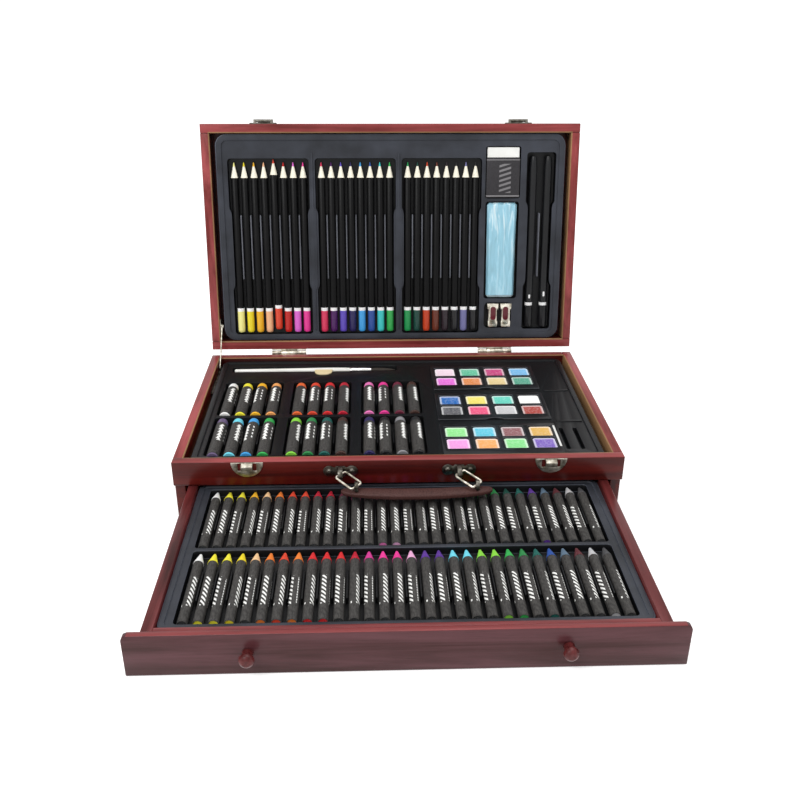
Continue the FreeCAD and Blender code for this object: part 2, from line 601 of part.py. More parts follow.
def make_drawer_tray():
    floor = "crayon_axis - crayon_radius - seat"
    wells, ribs = [], []
    half_row = "(crayon_count - 1) * crayon_pitch / 2"
    for row in range(2):
        start = f"front + crayon_row_start + {row} * crayon_row_pitch"
        wells.append((f"-{half_row} - crayon_radius - well_margin", f"{start} - well_margin",
                      f"{half_row} + crayon_radius + well_margin", f"{start} + crayon_length + well_margin",
                      floor))
        for gap in range(int(number("crayon_count")) - 1):
            middle = f"-{half_row} + ({gap} + 0.5) * crayon_pitch"
            ribs.append(box("crayon_rib", (f"{middle} - rib_width / 2", f"{start} + crayon_rib_place", floor),
                            (f"{middle} + rib_width / 2",
                             f"{start} + crayon_rib_place + crayon_rib_length", "crayon_axis")))
    tray = formed_tray("drawer_tray", ("-drawer_inner + tray_play", "front + drawer_wall_back + tray_play"),
                       ("drawer_inner - tray_play", "front + drawer_length - drawer_wall - tray_play"),
                       "drawer_tray_face", "drawer_deck + seat", wells, ribs)
    node("drawer_tray", tray, frame="drawer")


def make_crayons():
    """Crayons: eight-sided sticks with a tapered tip, lying with their tips to the back."""
    radius, length = number("crayon_radius"), number("crayon_length")
    crayon = spindle([(radius, 0), (radius, length - number("crayon_cone")),
                      (number("crayon_tip_radius"), length)], 8)
    for row, label in enumerate(("crayons_front_row", "crayons_back_row")):
        start = f"front + crayon_row_start + {row} * crayon_row_pitch"
        spots = [(f"({index} - (crayon_count - 1) / 2) * crayon_pitch", start, "crayon_axis")
                 for index in range(int(number("crayon_count")))]
        node(label, set_at(label + "_sticks", crayon, spots, along="Y"), frame="drawer")


# ---------------------------------------------------------------------------------------------------
# Lid, drawn shut: "up" runs from the hinge axis towards the front, "deep" from the rim upwards
# ---------------------------------------------------------------------------------------------------
def up(distance):
    """The depth of a place that lies this far up the lid from its hinge axis."""
    return f"(hinge_depth - ({distance}))"


def deep(distance):
    """The height of a place that lies this deep in the shut lid."""
    return f"(case_height + {distance})"


def make_lid():
    boards = [box("lid_side", (low, "inner_front", "case_height"), (high, "inner_back", "lid_top"))
              for low, high in (("-case_width / 2", "-inner_side"), ("inner_side", "case_width / 2"))]
    node("lid_side_boards", *boards, frame="lid")
    node("lid_front_board", box("lid_front", ("-case_width / 2", "front", "case_height"),
                                ("case_width / 2", "inner_front", "lid_top")), frame="lid")
    node("lid_back_board", box("lid_back", ("-case_width / 2", "inner_back", "case_height"),
                               ("case_width / 2", "back", "lid_top")), frame="lid")
    node("lid_panel", box("lid_cover", ("-case_width / 2", "front", "lid_top"),
                          ("case_width / 2", "back", "lid_top + lid_panel_thickness")), frame="lid")


def make_lid_tray():
    wells, ribs = [], []
    floor = deep("pencil_deep + pencil_radius + seat")
    face = deep("lid_tray_deep")
    for group in range(3):
        start = f"pencil_start + {group} * pencil_group_pitch"
        wells.append((f"{start} - pencil_radius - well_margin",
                      up("pencil_up + pencil_length + well_margin * 2"),
                      f"{start} + 7 * pencil_pitch + pencil_radius + well_margin",
                      up("pencil_up - well_margin"), floor))
        for gap in range(7):
            middle = f"{start} + ({gap} + 0.5) * pencil_pitch"
            ribs.append(box("pencil_rib", (f"{middle} - rib_width / 2",
                                           up("pencil_rib_up + pencil_rib_length"),
                                           deep("pencil_deep")),
                            (f"{middle} + rib_width / 2", up("pencil_rib_up"), floor)))
    for group in range(2):
        middle = (f"pencil_start + ({group} + 1) * pencil_group_pitch"
                  " - (pencil_group_pitch - 7 * pencil_pitch) / 2")
        ribs.append(box("tray_ridge", (f"{middle} - ridge_width / 2", up("pencil_up + pencil_length"),
                                       f"{face} - ridge_height"),
                        (f"{middle} + ridge_width / 2", up("pencil_up"), face)))
    extras_floor = deep("extras_floor")
    for width, low_up, length in (("eraser_width", "eraser_up", "eraser_length"),
                                  ("wrap_width", "wrap_up", "wrap_length"),
                                  ("sharpener_width * 2 + sharpener_gap", "sharpener_up",
                                    "sharpener_length")):
        wells.append((f"extras_centre - ({width}) / 2 - well_margin / 2",
                      up(f"{low_up} + {length} + well_margin / 2"),
                      f"extras_centre + ({width}) / 2 + well_margin / 2", up(f"{low_up} - well_margin / 2"),
                      extras_floor))
    pen_floor = deep("pen_deep + pen_radius + seat")
    wells.append(("pen_centre - pen_spacing / 2 - pen_radius - well_margin",
                  up("pen_up + pen_length + well_margin * 2"),
                  "pen_centre + pen_spacing / 2 + pen_radius + well_margin", up("pen_up - well_margin"),
                  pen_floor))
    ribs.append(box("pen_rib", ("pen_centre - rib_width", up("pencil_rib_up + pencil_rib_length"),
                                deep("pen_deep")),
                    ("pen_centre + rib_width", up("pencil_rib_up"), pen_floor)))
    tray = formed_tray("lid_tray", ("-tray_half", "inner_front + tray_play"),
                       ("tray_half", "inner_back - tray_play"), face, "lid_top - seat", wells, ribs, up=-1)
    node("lid_tray", tray, frame="lid")


def make_pencils():
    """Hexagonal pencils in three groups, points to the front of the lid."""
    radius, length = number("pencil_radius"), number("pencil_length")
    pencil = spindle([(radius, 0), (radius, length - number("pencil_cone")), (radius * 0.12, length)], 6)
    for group, label in enumerate(("pencils_left", "pencils_middle", "pencils_right")):
        spots = [(f"pencil_start + {group} * pencil_group_pitch + {column} * pencil_pitch", up("pencil_up"),
                  deep("pencil_deep")) for column in range(8)]
        node(label, set_at(label + "_row", pencil, spots, along="-Y"), frame="lid")


def make_lid_extras():
    thick, floor = "eraser_thickness", deep("extras_floor - seat")
    low, high = "extras_centre - eraser_width / 2", "extras_centre + eraser_width / 2"
    node("eraser_block", box("eraser", (f"{low} + sleeve_thickness", up("eraser_up + eraser_length"),
                                        f"{floor} - {thick} + sleeve_thickness"),
                             (f"{high} - sleeve_thickness", up("eraser_up + sleeve_thickness"),
                              f"{floor} - sleeve_thickness")), frame="lid")
    sleeve = box("sleeve", (low, up("eraser_up + eraser_length - eraser_bare"), f"{floor} - {thick}"),
                 (high, up("eraser_up"), floor))
    bore = box("sleeve_bore", (f"{low} + sleeve_thickness", up("eraser_up + eraser_length"),
                               f"{floor} - {thick} + sleeve_thickness"),
               (f"{high} - sleeve_thickness", up("eraser_up + sleeve_thickness"),
                 f"{floor} - sleeve_thickness"))
    node("eraser_sleeve", cut("sleeve_cut", sleeve, bore), frame="lid")

    half, long, thick_wrap = number("wrap_width") / 2, number("wrap_length"), number("wrap_thickness")
    bevel = number("wrap_round")
    loops = []
    for inset, along in ((bevel, 0), (0, bevel), (0, long - bevel), (bevel, long)):
        wide, flat, low, high = half - inset, half - inset - bevel, inset, thick_wrap - inset
        loops.append([Vector(x, z, along) for x, z in (
            (-flat, low), (flat, low), (wide, low + bevel * 0.6), (wide, high - bevel * 0.6), (flat, high),
            (-flat, high), (-wide, high - bevel * 0.6), (-wide, low + bevel * 0.6))])
    wrap = set_at("wrap_body", skin(loops), [("extras_centre", up("wrap_up"), f"{floor} - wrap_thickness")],
                  along="-Y")
    node("wrapped_putty", wrap, frame="lid")

    bodies, blades = [], []
    for side in (-0.5, 0.5):
        middle = f"(extras_centre + {side} * (sharpener_width + sharpener_gap))"
        half, waist = "sharpener_width / 2", "sharpener_waist"
        low_up, high_up = "sharpener_up", "sharpener_up + sharpener_length"
        profile = [(f"-{half}", f"-sharpener_length / 2"), (half, "-sharpener_length / 2"),
                   (f"{half} * 0.8", "sharpener_length / 2"), (f"-{half} * 0.8", "sharpener_length / 2")]
        blank = padded("sharpener_blank", "XY_Plane", profile, "sharpener_thickness",
                       at=(middle, up("sharpener_up + sharpener_length / 2"),
                           f"{floor} - sharpener_thickness / 2"))
        grips = [box("thumb_hollow", (f"{middle} + {near} - {waist}",
                                      up("sharpener_up + sharpener_length * 0.75"),
                                      f"{floor} - sharpener_thickness"),
                     (f"{middle} + {near} + {waist}", up("sharpener_up + sharpener_length * 0.25"), floor))
                 for near in (f"-{half}", half)]
        bore = prism("sharpener_bore_hole", 12, "sharpener_bore", "sharpener_length * 0.8",
                     (middle, up("sharpener_up + sharpener_length * 0.8"),
                      f"{floor} - sharpener_thickness / 2"),
                     along="Y")
        bodies.append(cut("sharpener_cut", blank, bore, *grips))
        blades.append(box("blade", (f"{middle} - {half} * 0.55", up("sharpener_up + sharpener_length * 0.92"),
                                    f"{floor} - sharpener_thickness - blade_thickness"),
                          (f"{middle} + {half} * 0.45", up("sharpener_up + sharpener_length * 0.12"),
                           f"{floor} - sharpener_thickness")))
    node("sharpeners", *bodies, frame="lid")
    node("sharpener_blades", *blades, frame="lid")

    barrels, caps = [], []
    for side in (-0.5, 0.5):
        across = f"pen_centre + {side} * pen_spacing"
        caps.append(rod("pen_cap", "pen_radius", "pen_cap_length",
                        (across, up("pen_up"), deep("pen_deep")), along="-Y"))
        barrels.append((across, up("pen_up + pen_cap_length"), deep("pen_deep")))
    radius, barrel = number("pen_radius"), number("pen_length") - number("pen_cap_length")
    pen = spindle([(radius * 0.92, 0), (radius * 0.92, barrel - radius * 2), (radius * 0.55, barrel)], 16)
    barrels = [set_at("pen_barrels", pen, barrels, along="-Y")]
    node("pens", *barrels, frame="lid")
    node("pen_caps", *caps, frame="lid")


# ---------------------------------------------------------------------------------------------------
# Hinges: bent leaves with rolled knuckles on one pin
# ---------------------------------------------------------------------------------------------------
def make_hinges():
    case_leaves, lid_leaves, pins = [], [], []
    for side in (-0.5, 0.5):
        middle = f"({side} * hinge_spacing)"
        left, right = f"{middle} - hinge_width / 2", f"{middle} + hinge_width / 2"
        axis = ("hinge_depth", "case_height")
        hole = bore("knuckle_bore", "pin_radius + pin_play", "hinge_width", (left, *axis), along="X")

        plate = box("case_leaf", (left, "back", "case_height - knuckle_radius - leaf_height"),
                    (right, "back + leaf_thickness", "case_height - knuckle_radius + leaf_thickness"))
        parts = [plate]
        for start, end in ((left, f"{left} + end_knuckle"), (f"{right} - end_knuckle", right)):
            parts.append(small_rod("case_knuckle", "knuckle_radius", "end_knuckle", (start, *axis),
                                   along="X"))
            parts.append(box("case_web", (start, "back", "case_height - knuckle_radius"),
                             (end, "hinge_depth", "case_height - knuckle_radius + leaf_thickness")))
        case_leaves.append(cut("case_leaf_cut", fuse("case_leaf_whole", *parts), hole))

        plate = box("lid_leaf", (left, "back", "case_height + knuckle_radius - leaf_thickness"),
                    (right, "back + leaf_thickness", "case_height + knuckle_radius + leaf_height"))
        start, end = f"{left} + end_knuckle + knuckle_gap", f"{right} - end_knuckle - knuckle_gap"
        knuckle = small_rod("lid_knuckle", "knuckle_radius", "hinge_width - 2 * (end_knuckle + knuckle_gap)",
                            (start, *axis), along="X")
        web = box("lid_web", (start, "back", "case_height + knuckle_radius - leaf_thickness"),
                  (end, "hinge_depth", "case_height + knuckle_radius"))
        hole = bore("lid_knuckle_bore", "pin_radius + pin_play", "hinge_width", (left, *axis), along="X")
        lid_leaves.append(cut("lid_leaf_cut", fuse("lid_leaf_whole", plate, knuckle, web), hole))
        pins.append(rod("hinge_pin", "pin_radius", "hinge_width", (left, *axis), along="X"))
    node("hinge_case_leaves", *case_leaves)
    node("hinge_lid_leaves", *lid_leaves, frame="lid")
    node("hinge_pins", *pins)


# ---------------------------------------------------------------------------------------------------
# Latches: half-round keeper with a nib below the rim, and a hasp that swings from a plate on the lid
# ---------------------------------------------------------------------------------------------------
def half_disc(label, middle, edge, rises):
    """A half-round plate on the front with its straight edge at the height given."""
    disc = rod(label + "_disc", "latch_plate_radius", "latch_plate_thickness", (middle, "front", edge),
               along="-Y")
    low, high = (edge, f"{edge} + latch_plate_radius") if rises else (f"{edge} - latch_plate_radius", edge)
    window = box(label + "_half", (f"{middle} - latch_plate_radius", "front - latch_plate_thickness", low),
                 (f"{middle} + latch_plate_radius", "front", high))
    return common(label, disc, window)


def make_latches():
    keepers, plates = [], []
    for side, hasp_label in ((-1, "hasp_left"), (1, "hasp_right")):
        middle = f"({side} * latch_spacing / 2)"
        edge = "case_height - latch_edge_gap"
        face = "front - latch_plate_thickness"
        nib_top = f"{edge} - nib_drop"
        nib_low = f"{nib_top} - nib_height"
        nib = padded("nib", "YZ_Plane", [(face, nib_low), (face, nib_top),
                                         (f"{face} - nib_proud", f"{nib_top} - nib_height * 0.3"),
                                         (f"{face} - nib_proud", nib_low)],
                     "nib_width", at=(middle, "0", "0"))
        windows = [box("keeper_slot", (f"{middle} + {place}", face, f"{nib_low} - keeper_window / 2"),
                       (f"{middle} + {place} + keeper_window", "front", nib_top))
                   for place in ("nib_width / 2", "-nib_width / 2 - keeper_window")]
        keepers.append(fuse("keeper", cut("keeper_plate", half_disc("keeper_half", middle, edge, False),
                                          *windows), nib))

        edge = "case_height + latch_edge_gap"
        axis = ("front - latch_axis_out", "latch_axis_height")
        ears = []
        for near in ("-hasp_width / 2 - barrel_gap - ear_width", "hasp_width / 2 + barrel_gap"):
            ears.append(small_rod("ear", "barrel_radius", "ear_width", (f"{middle} + {near}", *axis),
                                  along="X"))
            ears.append(box("ear_root", (f"{middle} + {near}", "front - latch_axis_out",
                                         "latch_axis_height - barrel_radius"),
                            (f"{middle} + {near} + ear_width", "front",
                             "latch_axis_height + barrel_radius")))
        pin = rod("latch_pin", "latch_pin_radius", "hasp_width + 2 * (barrel_gap + ear_width)",
                  (f"{middle} - hasp_width / 2 - barrel_gap - ear_width", *axis), along="X")
        plates.append(fuse("latch_plate", half_disc("latch_half", middle, edge, True), *ears, pin))

        left, right = f"{middle} - hasp_width / 2", f"{middle} + hasp_width / 2"
        thin_low = "front - latch_axis_out - hasp_thickness / 2"
        thin_high = "front - latch_axis_out + hasp_thickness / 2"
        barrel = small_rod("hasp_barrel", "barrel_radius", "hasp_width", (left, *axis), along="X")
        tongue = box("tongue", (left, thin_low, "latch_axis_height"),
                     (right, thin_high, "latch_axis_height + hasp_length"))
        tab = box("finger_tab", (left, thin_high, "latch_axis_height + hasp_length - hasp_thickness"),
                  (right, f"{thin_high} + tab_proud", "latch_axis_height + hasp_length"))
        window = box("hasp_window", (f"{middle} - hasp_window_width / 2", thin_low,
                                     "latch_axis_height + hasp_window_start"),
                     (f"{middle} + hasp_window_width / 2", thin_high, "latch_axis_height + hasp_window_end"))
        hole = bore("hasp_bore", "latch_pin_radius + latch_pin_play", "hasp_width", (left, *axis), along="X")
        node(hasp_label, cut(hasp_label + "_cut", fuse(hasp_label + "_whole", barrel, tongue, tab), window,
                             hole), frame="lid")
    node("latch_keepers", *keepers)
    node("latch_plates", *plates, frame="lid")


# ---------------------------------------------------------------------------------------------------
# Handle: two scalloped mounts with eyes, wire rings and a bowed grip
# ---------------------------------------------------------------------------------------------------
def make_mounts():
    mounts, screws = [], []
    for side in (-1, 1):
        middle = f"({side} * handle_spacing / 2)"
        face = "front - mount_thickness"
        lobes = [rod("lobe", "lobe_radius", "mount_thickness",
                     (f"{middle} + {place}", "front", "handle_height"), along="-Y")
                 for place in ("-lobe_place", "lobe_place")]
        bridge = box("mount_bridge", (f"{middle} - lobe_place", face, "handle_height - mount_waist / 2"),
                     (f"{middle} + lobe_place", "front", "handle_height + mount_waist / 2"))
        axis = ("front - handle_axis_out", "handle_height")
        low_x, outer = f"{middle} - eye_width / 2", "(eye_radius + eye_wall)"
        pad = box("mount_pad", (f"{middle} - eye_width", face, f"handle_height - {outer} - eye_wall"),
                  (f"{middle} + eye_width", "front", f"handle_height + {outer}"))
        arch = [rod("eye_round", outer, "eye_width", (low_x, *axis), along="X"),
                box("eye_legs", (low_x, "front - handle_axis_out", f"handle_height - {outer}"),
                    (f"{middle} + eye_width / 2", face, f"handle_height + {outer}"))]
        tunnel = [bore("tunnel_round", "eye_radius", "eye_width", (low_x, *axis), along="X"),
                  box("tunnel_legs", (low_x, "front - handle_axis_out", "handle_height - eye_radius"),
                      (f"{middle} + eye_width / 2", face, "handle_height + eye_radius"))]
        eye = cut("eye", fuse("eye_whole", *arch), *tunnel)
        mounts.append(fuse("mount", *lobes, bridge, pad, eye))
        for place in ("-lobe_place", "lobe_place"):
            screws.append((f"{middle} + {place}", face, "handle_height"))
    node("handle_mounts", *mounts)
    head, rise, shank = number("screw_head_radius"), number("screw_head_height"), number("screw_radius")
    screw = spindle([(shank, -number("screw_length")), (shank, 0), (head, 0), (head * 0.6, rise)], 8)
    node("handle_screws", set_at("screws", screw, screws, along="-Y"))


def make_rings():
    """The rings' wire, swept with an eight-sided section, tilted in their plane and sloped to the front."""
    long, half, bend = number("ring_length"), number("ring_width") / 2, number("ring_bend")
    wire_radius, facets, steps = number("wire_radius"), 8, 4
    path = []
    for corner_x, corner_y, first in ((long, -half, -90), (long, half, 0), (0, half, 90), (0, -half, 180)):
        centre_x = corner_x - bend if corner_x else bend
        centre_y = corner_y - math.copysign(bend, corner_y)
        for step in range(steps + 1):
            angle = math.radians(first + 90 * step / steps)
            path.append((centre_x + bend * math.cos(angle), centre_y + bend * math.sin(angle), angle))
    loops = []
    for x, y, angle in path:
        outward = Vector(math.cos(angle), math.sin(angle), 0)
        loops.append([Vector(x, y, 0) + outward * (wire_radius * math.cos(math.tau * (k + 0.5) / facets))
                      + Vector(0, 0, wire_radius * math.sin(math.tau * (k + 0.5) / facets))
                      for k in range(facets)])
    ring = skin(loops, closed=True)
    tilt = Rotation(Vector(0, 0, 1), -number("ring_tilt"))
    slope = Rotation(Vector(1, 0, 0), number("ring_slope"))
    shapes = []
    for side in (-1, 1):
        shape = ring.copy()
        shape.Placement = Placement(Vector(side * number("handle_spacing") / 2,
                                           number("front") - number("handle_axis_out"),
                                           number("handle_height")), slope.multiply(tilt))
        shapes.append(shape)
    rings = new("Part::Feature", "rings")
    rings.Shape = Part.makeCompound(shapes)
    node("handle_rings", rings)


def make_grip():
    """The grip, bowed away from the case and tapered at both ends, and a saddle eye over each ring."""
    half, bow, facets = number("grip_length") / 2, number("grip_bow"), 12
    reach = number("handle_spacing") / 2
    bend_radius = (reach ** 2 + bow ** 2) / (2 * bow)
    deep_half = number("grip_thickness") / 2
    stations = [-1, -0.96, -0.86, -0.62, -0.32, 0, 0.32, 0.62, 0.86, 0.96, 1]
    sections = []
    for station in stations:
        along = station * half
        out = bow - along ** 2 / (2 * bend_radius)
        shrink = 1 - abs(station) ** number("grip_taper")
        wide = number("grip_end_width") / 2 * 0.4 + (number("grip_width") / 2
                                                      - number("grip_end_width") / 2 * 0.4) * shrink ** 0.5
        tall = deep_half * (0.45 + 0.55 * shrink ** 0.5)
        points = []
        for k in range(facets):
            angle = math.tau * (k + 0.5) / facets
            across, rise = math.cos(angle), math.sin(angle)
            points.append(Vector(along, -out + wide * math.copysign(abs(across) ** 0.7, across),
                                 tall * math.copysign(abs(rise) ** 0.6, rise)))
        sections.append(points)
    slab = skin(sections)
    slab.translate(Vector(number("ring_shift"), number("front") - number("grip_axis_out"),
                          number("grip_axis_height") - number("grip_drop") - deep_half))
    grip = new("Part::Feature", "grip")
    grip.Shape = slab
    node("handle_grip", grip)

    eyes = []
    for side in (-1, 1):
        low_x = f"({side} * handle_spacing / 2 + ring_shift - grip_eye_width / 2)"
        axis = ("front - grip_axis_out", "grip_axis_height")
        outer = "(grip_eye_radius + eye_wall)"
        whole = fuse("saddle", rod("saddle_round", outer, "grip_eye_width", (low_x, *axis), along="X"),
                     box("saddle_legs", (low_x, f"front - grip_axis_out - {outer}",
                                         "grip_axis_height - grip_drop"),
                         (f"{low_x} + grip_eye_width", f"front - grip_axis_out + {outer}",
                          "grip_axis_height")))
        tunnel = fuse("saddle_tunnel", bore("saddle_bore", "grip_eye_radius", "grip_eye_width",
                                            (low_x, *axis), along="X"),
                      box("saddle_gap", (low_x, "front - grip_axis_out - grip_eye_radius",
                                         "grip_axis_height - grip_drop - eye_wall"),
                          (f"{low_x} + grip_eye_width", "front - grip_axis_out + grip_eye_radius",
                           "grip_axis_height")))
        floor = box("saddle_floor", (low_x, f"front - grip_axis_out - {outer}",
                                     "grip_axis_height - grip_drop - eye_wall"),
                    (f"{low_x} + grip_eye_width", f"front - grip_axis_out + {outer}",
                     "grip_axis_height - grip_drop"))
        eyes.append(cut("grip_eye", whole, tunnel, floor))
    node("grip_eyes", *eyes)


# ---------------------------------------------------------------------------------------------------
# Lid stay at the left: a bracket on the lid, an arm and a ledge with a stop on the case
# ---------------------------------------------------------------------------------------------------
def make_stay():
    side = number("inner_side")
    open_angle = math.radians(number("lid_open"))
    reach, depth = number("stay_up"), number("stay_deep")
    # the pivot with the lid open
    pivot_y = number("hinge_depth") - reach * math.cos(open_angle) + depth * math.sin(open_angle)
    pivot_z = number("case_height") + reach * math.sin(open_angle) + depth * math.cos(open_angle)
    foot_y, foot_z = number("stay_foot_depth"), number("stay_foot_height")
    run, rise = pivot_y - foot_y, pivot_z - foot_z
    length = math.hypot(run, rise)
    width, thick = number("stay_arm_width"), number("stay_arm_thickness")
    rivet, play = number("stay_rivet_radius"), number("stay_rivet_play")

    def disc(radius, thickness, y, z):
        return Part.makeCylinder(radius, thickness, Vector(0, y, z), Vector(1, 0, 0))

    bar = Part.makeBox(thick, length, width, Vector(0, 0, -width / 2))
    bar = bar.fuse(disc(number("stay_eye_radius"), thick, 0, 0))
    bar = bar.fuse(disc(number("stay_foot_radius"), thick, length, 0))
    bar = bar.cut(disc(rivet + play, thick, 0, 0)).removeSplitter()
    bar.rotate(Vector(0, 0, 0), Vector(1, 0, 0), 180 + math.degrees(math.atan2(rise, run)))
    bar.translate(Vector(-side + number("stay_plate") + number("stay_gap"), pivot_y, pivot_z))
    arm = new("Part::Feature", "arm")
    arm.Shape = bar
    node("stay_arm", arm)

    long, broad = "stay_bracket_length", "stay_bracket_width"
    plate = box("bracket_plate",
                ("-inner_side", up(f"stay_up + {long} / 2"), deep(f"stay_deep - {broad} / 2")),
                ("-inner_side + stay_plate", up(f"stay_up - {long} / 2"), deep(f"stay_deep + {broad} / 2")))
    axis = (up("stay_up"), deep("stay_deep"))
    rivet = small_rod("bracket_rivet", "stay_rivet_radius", "stay_plate + stay_gap * 2 + stay_arm_thickness",
                ("-inner_side", *axis), along="X")
    head = small_rod("bracket_rivet_head", "stay_rivet_head", "stay_plate",
               ("-inner_side + stay_plate + stay_gap * 2 + stay_arm_thickness", *axis), along="X")
    node("stay_bracket", fuse("bracket", plate, rivet, head), frame="lid")

    under = "stay_foot_height - stay_foot_radius - stay_gap"
    back_stop = "stay_foot_depth + stay_foot_radius + stay_gap"
    flange = box("ledge_flange", ("-inner_side", "ledge_front", f"{under} - stay_plate - ledge_height"),
                 ("-inner_side + stay_plate", f"{back_stop} + stay_plate", under))
    shelf = box("ledge_shelf", ("-inner_side", "ledge_front", f"{under} - stay_plate"),
                ("-inner_side + ledge_width", f"{back_stop} + stay_plate", under))
    stop = box("ledge_stop", ("-inner_side", back_stop, under),
               ("-inner_side + ledge_width", f"{back_stop} + stay_plate", f"{under} + stay_foot_radius"))
    node("stay_ledge", fuse("ledge", flange, shelf, stop))


make_case()
make_upper_tray()
make_pastels()
make_brush()
make_palettes()
make_drawer()
make_drawer_tray()
make_crayons()
make_lid()
make_lid_tray()
make_pencils()
make_lid_extras()
make_hinges()
make_latches()
make_mounts()
make_rings()
make_grip()
make_stay()
doc.recompute()

for thing in doc.Objects:
    faults = {"Invalid", "Error"} & set(thing.State)
    if faults:
        raise RuntimeError(f"{thing.Name} did not build: {thing.State}")
os.makedirs("parts", exist_ok=True)
for thing in NODES:
    shape = thing.Shape
    if shape.isNull() or not shape.isValid() or not shape.Solids:
        raise RuntimeError(f"{thing.Label} has no valid solid")
    shape.exportStep(os.path.join("parts", thing.Label + ".step"))
    print(f"{thing.Label}: {len(shape.Solids)} solids, {shape.Volume:.1f} mm3")
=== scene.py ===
"""Dresses the pencil drawer box: wood, trays, colours, metalwork and the pale studio round it."""

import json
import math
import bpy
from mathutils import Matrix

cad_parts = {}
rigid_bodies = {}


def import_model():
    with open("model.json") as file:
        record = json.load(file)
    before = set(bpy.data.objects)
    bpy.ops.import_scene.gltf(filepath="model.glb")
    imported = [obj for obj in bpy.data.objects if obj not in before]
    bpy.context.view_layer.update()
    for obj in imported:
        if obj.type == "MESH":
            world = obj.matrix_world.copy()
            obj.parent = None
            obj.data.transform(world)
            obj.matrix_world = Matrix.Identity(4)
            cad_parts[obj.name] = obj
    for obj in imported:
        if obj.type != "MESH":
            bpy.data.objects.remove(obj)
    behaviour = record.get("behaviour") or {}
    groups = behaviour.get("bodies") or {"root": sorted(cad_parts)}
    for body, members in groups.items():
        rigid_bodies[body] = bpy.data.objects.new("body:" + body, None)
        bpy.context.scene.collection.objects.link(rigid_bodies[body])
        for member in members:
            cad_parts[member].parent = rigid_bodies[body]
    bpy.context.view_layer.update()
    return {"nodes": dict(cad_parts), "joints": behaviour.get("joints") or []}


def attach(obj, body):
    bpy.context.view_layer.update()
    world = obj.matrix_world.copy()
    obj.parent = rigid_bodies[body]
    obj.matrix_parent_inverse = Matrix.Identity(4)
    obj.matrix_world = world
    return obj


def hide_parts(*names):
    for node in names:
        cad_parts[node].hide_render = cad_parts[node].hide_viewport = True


bl_info = {
    "name": "Pencil Drawer Box",
    "version": (1, 0, 0),
    "blender": (4, 5, 0),
    "location": "View3D > Sidebar > Pencil Box",
    "description": "Builds a wooden colouring case with its pencils, pastels, paints and crayons",
    "category": "Object",
}

from contextlib import contextmanager

import bmesh
import bpy
from mathutils import Matrix, Vector

bpy.ops.object.select_all(action="SELECT")
bpy.ops.object.delete()
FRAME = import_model()
MM = 0.001
RIM = 57 * MM                       # the height at which the shut lid meets the case
HINGE = Vector(FRAME["joints"][0]["pos_m"])
OPEN_ANGLE = math.radians(100)
METAL_EDGE = 0.0002
# The trays' layout, in millimetres.
TRAY_HALF = 177.6                   # half the width of the upper and the lid tray
NOTCH = -72                         # the middle of the finger notch, across
PALETTES = 91                       # the middle of the palettes, across
PALETTE_STARTS = (31, -34.5, -100)  # where each palette's well starts
BLOCK = 114.5                       # the middle of the eraser and the soft block, across
PENS = 153.7                        # the middle of the pens, across


def shift(across, along, high):
    """A move in millimetres."""
    return Matrix.Translation((across * MM, along * MM, high * MM))


# LID takes what is placed on the shut lid to the open one, and LID_FACE what is placed on its tray's face.
LID = Matrix.Translation(HINGE) @ Matrix.Rotation(-OPEN_ANGLE, 4, "X") @ Matrix.Translation(-HINGE)
LID_FACE = LID @ shift(0, 119, 61) @ Matrix.Rotation(math.pi, 4, "X")
GRAIN = {"x": (0, 0, 0), "y": (0, 0, math.pi / 2), "z": (0, math.pi / 2, 0)}

CODES = ("white f6f6f4 butter fbf49a primrose f0e06a lemon f6ec3c yellow f4de2a golden f8bc2a straw e4cc92 "
         "wheat dcae58 peach f8cc98 shrimp f9bc8e apricot f4a860 clay e0894a orange f08030 "
         "tangerine ec6a32 vermilion e2482e ember c8421f red dc2a2e scarlet c62420 crimson be1e34 "
         "brick a84038 coral e8507e rose e03a62 berry c8407e magenta d83c96 hot_pink ee3c9a pink f07cc0 "
         "candy ee9ade pale_pink f2b2dc shell f6dcea orchid e66cd8 mauve 8c5a5e burgundy 6a2238 "
         "maroon 5c2a30 dusk 6a5a7c haze 7676a6 iris 7a5eb8 purple 5c3494 plum 4c1a5e violet 6450c0 "
         "navy 2a2458 blue 2c52a0 cobalt 2468b4 sky 46a8ec powder 78bae8 cyan 74dcf0 pool 5cc4dc "
         "turquoise 40cccc aqua 62d0bc jade 62c29c sea 4fa086 mint_green 8ee28c pistachio 86dc8c "
         "lime 8cda46 green 34ac52 fern 1e9650 leaf 2e8a4a teal 1c6058 pine 16463c slate 5e7488 "
         "silver c2c2c4 grey 8e8e92 slate_grey 55555a charcoal 4a4a4c black 1c1c1e soot 2c2128 "
         "brown 6a3222 umber 442c26").split()
COLOURS = dict(zip(CODES[::2], CODES[1::2]))
CRAYONS_FRONT = ("white lemon lemon yellow peach orange vermilion orange red red red crimson magenta "
                 "hot_pink hot_pink pale_pink purple purple cyan cyan lime lime green leaf teal blue slate "
                 "maroon silver charcoal").split()
CRAYONS_BACK = ("white lemon lemon golden peach orange vermilion vermilion crimson crimson burgundy magenta "
                "hot_pink pink pale_pink orchid purple purple cyan cyan lime green leaf pine teal purple slate "
                "maroon silver charcoal").split()
PASTELS_BACK = "white lemon golden apricot tangerine vermilion red crimson pink hot_pink burgundy umber".split()
PASTELS_FRONT = "dusk cyan sky green lime leaf teal umber navy black grey black".split()
PENCILS = {"left": "butter yellow golden shrimp vermilion scarlet orchid hot_pink".split(),
           "middle": "rose plum violet navy sky blue turquoise green".split(),
           "right": "fern pine ember brown soot black haze black".split()}
CAKES = ("shell jade berry powder orchid clay straw sea cobalt primrose aqua white "
         "slate_grey coral silver brick mint_green pool mauve wheat candy apricot pistachio iris").split()


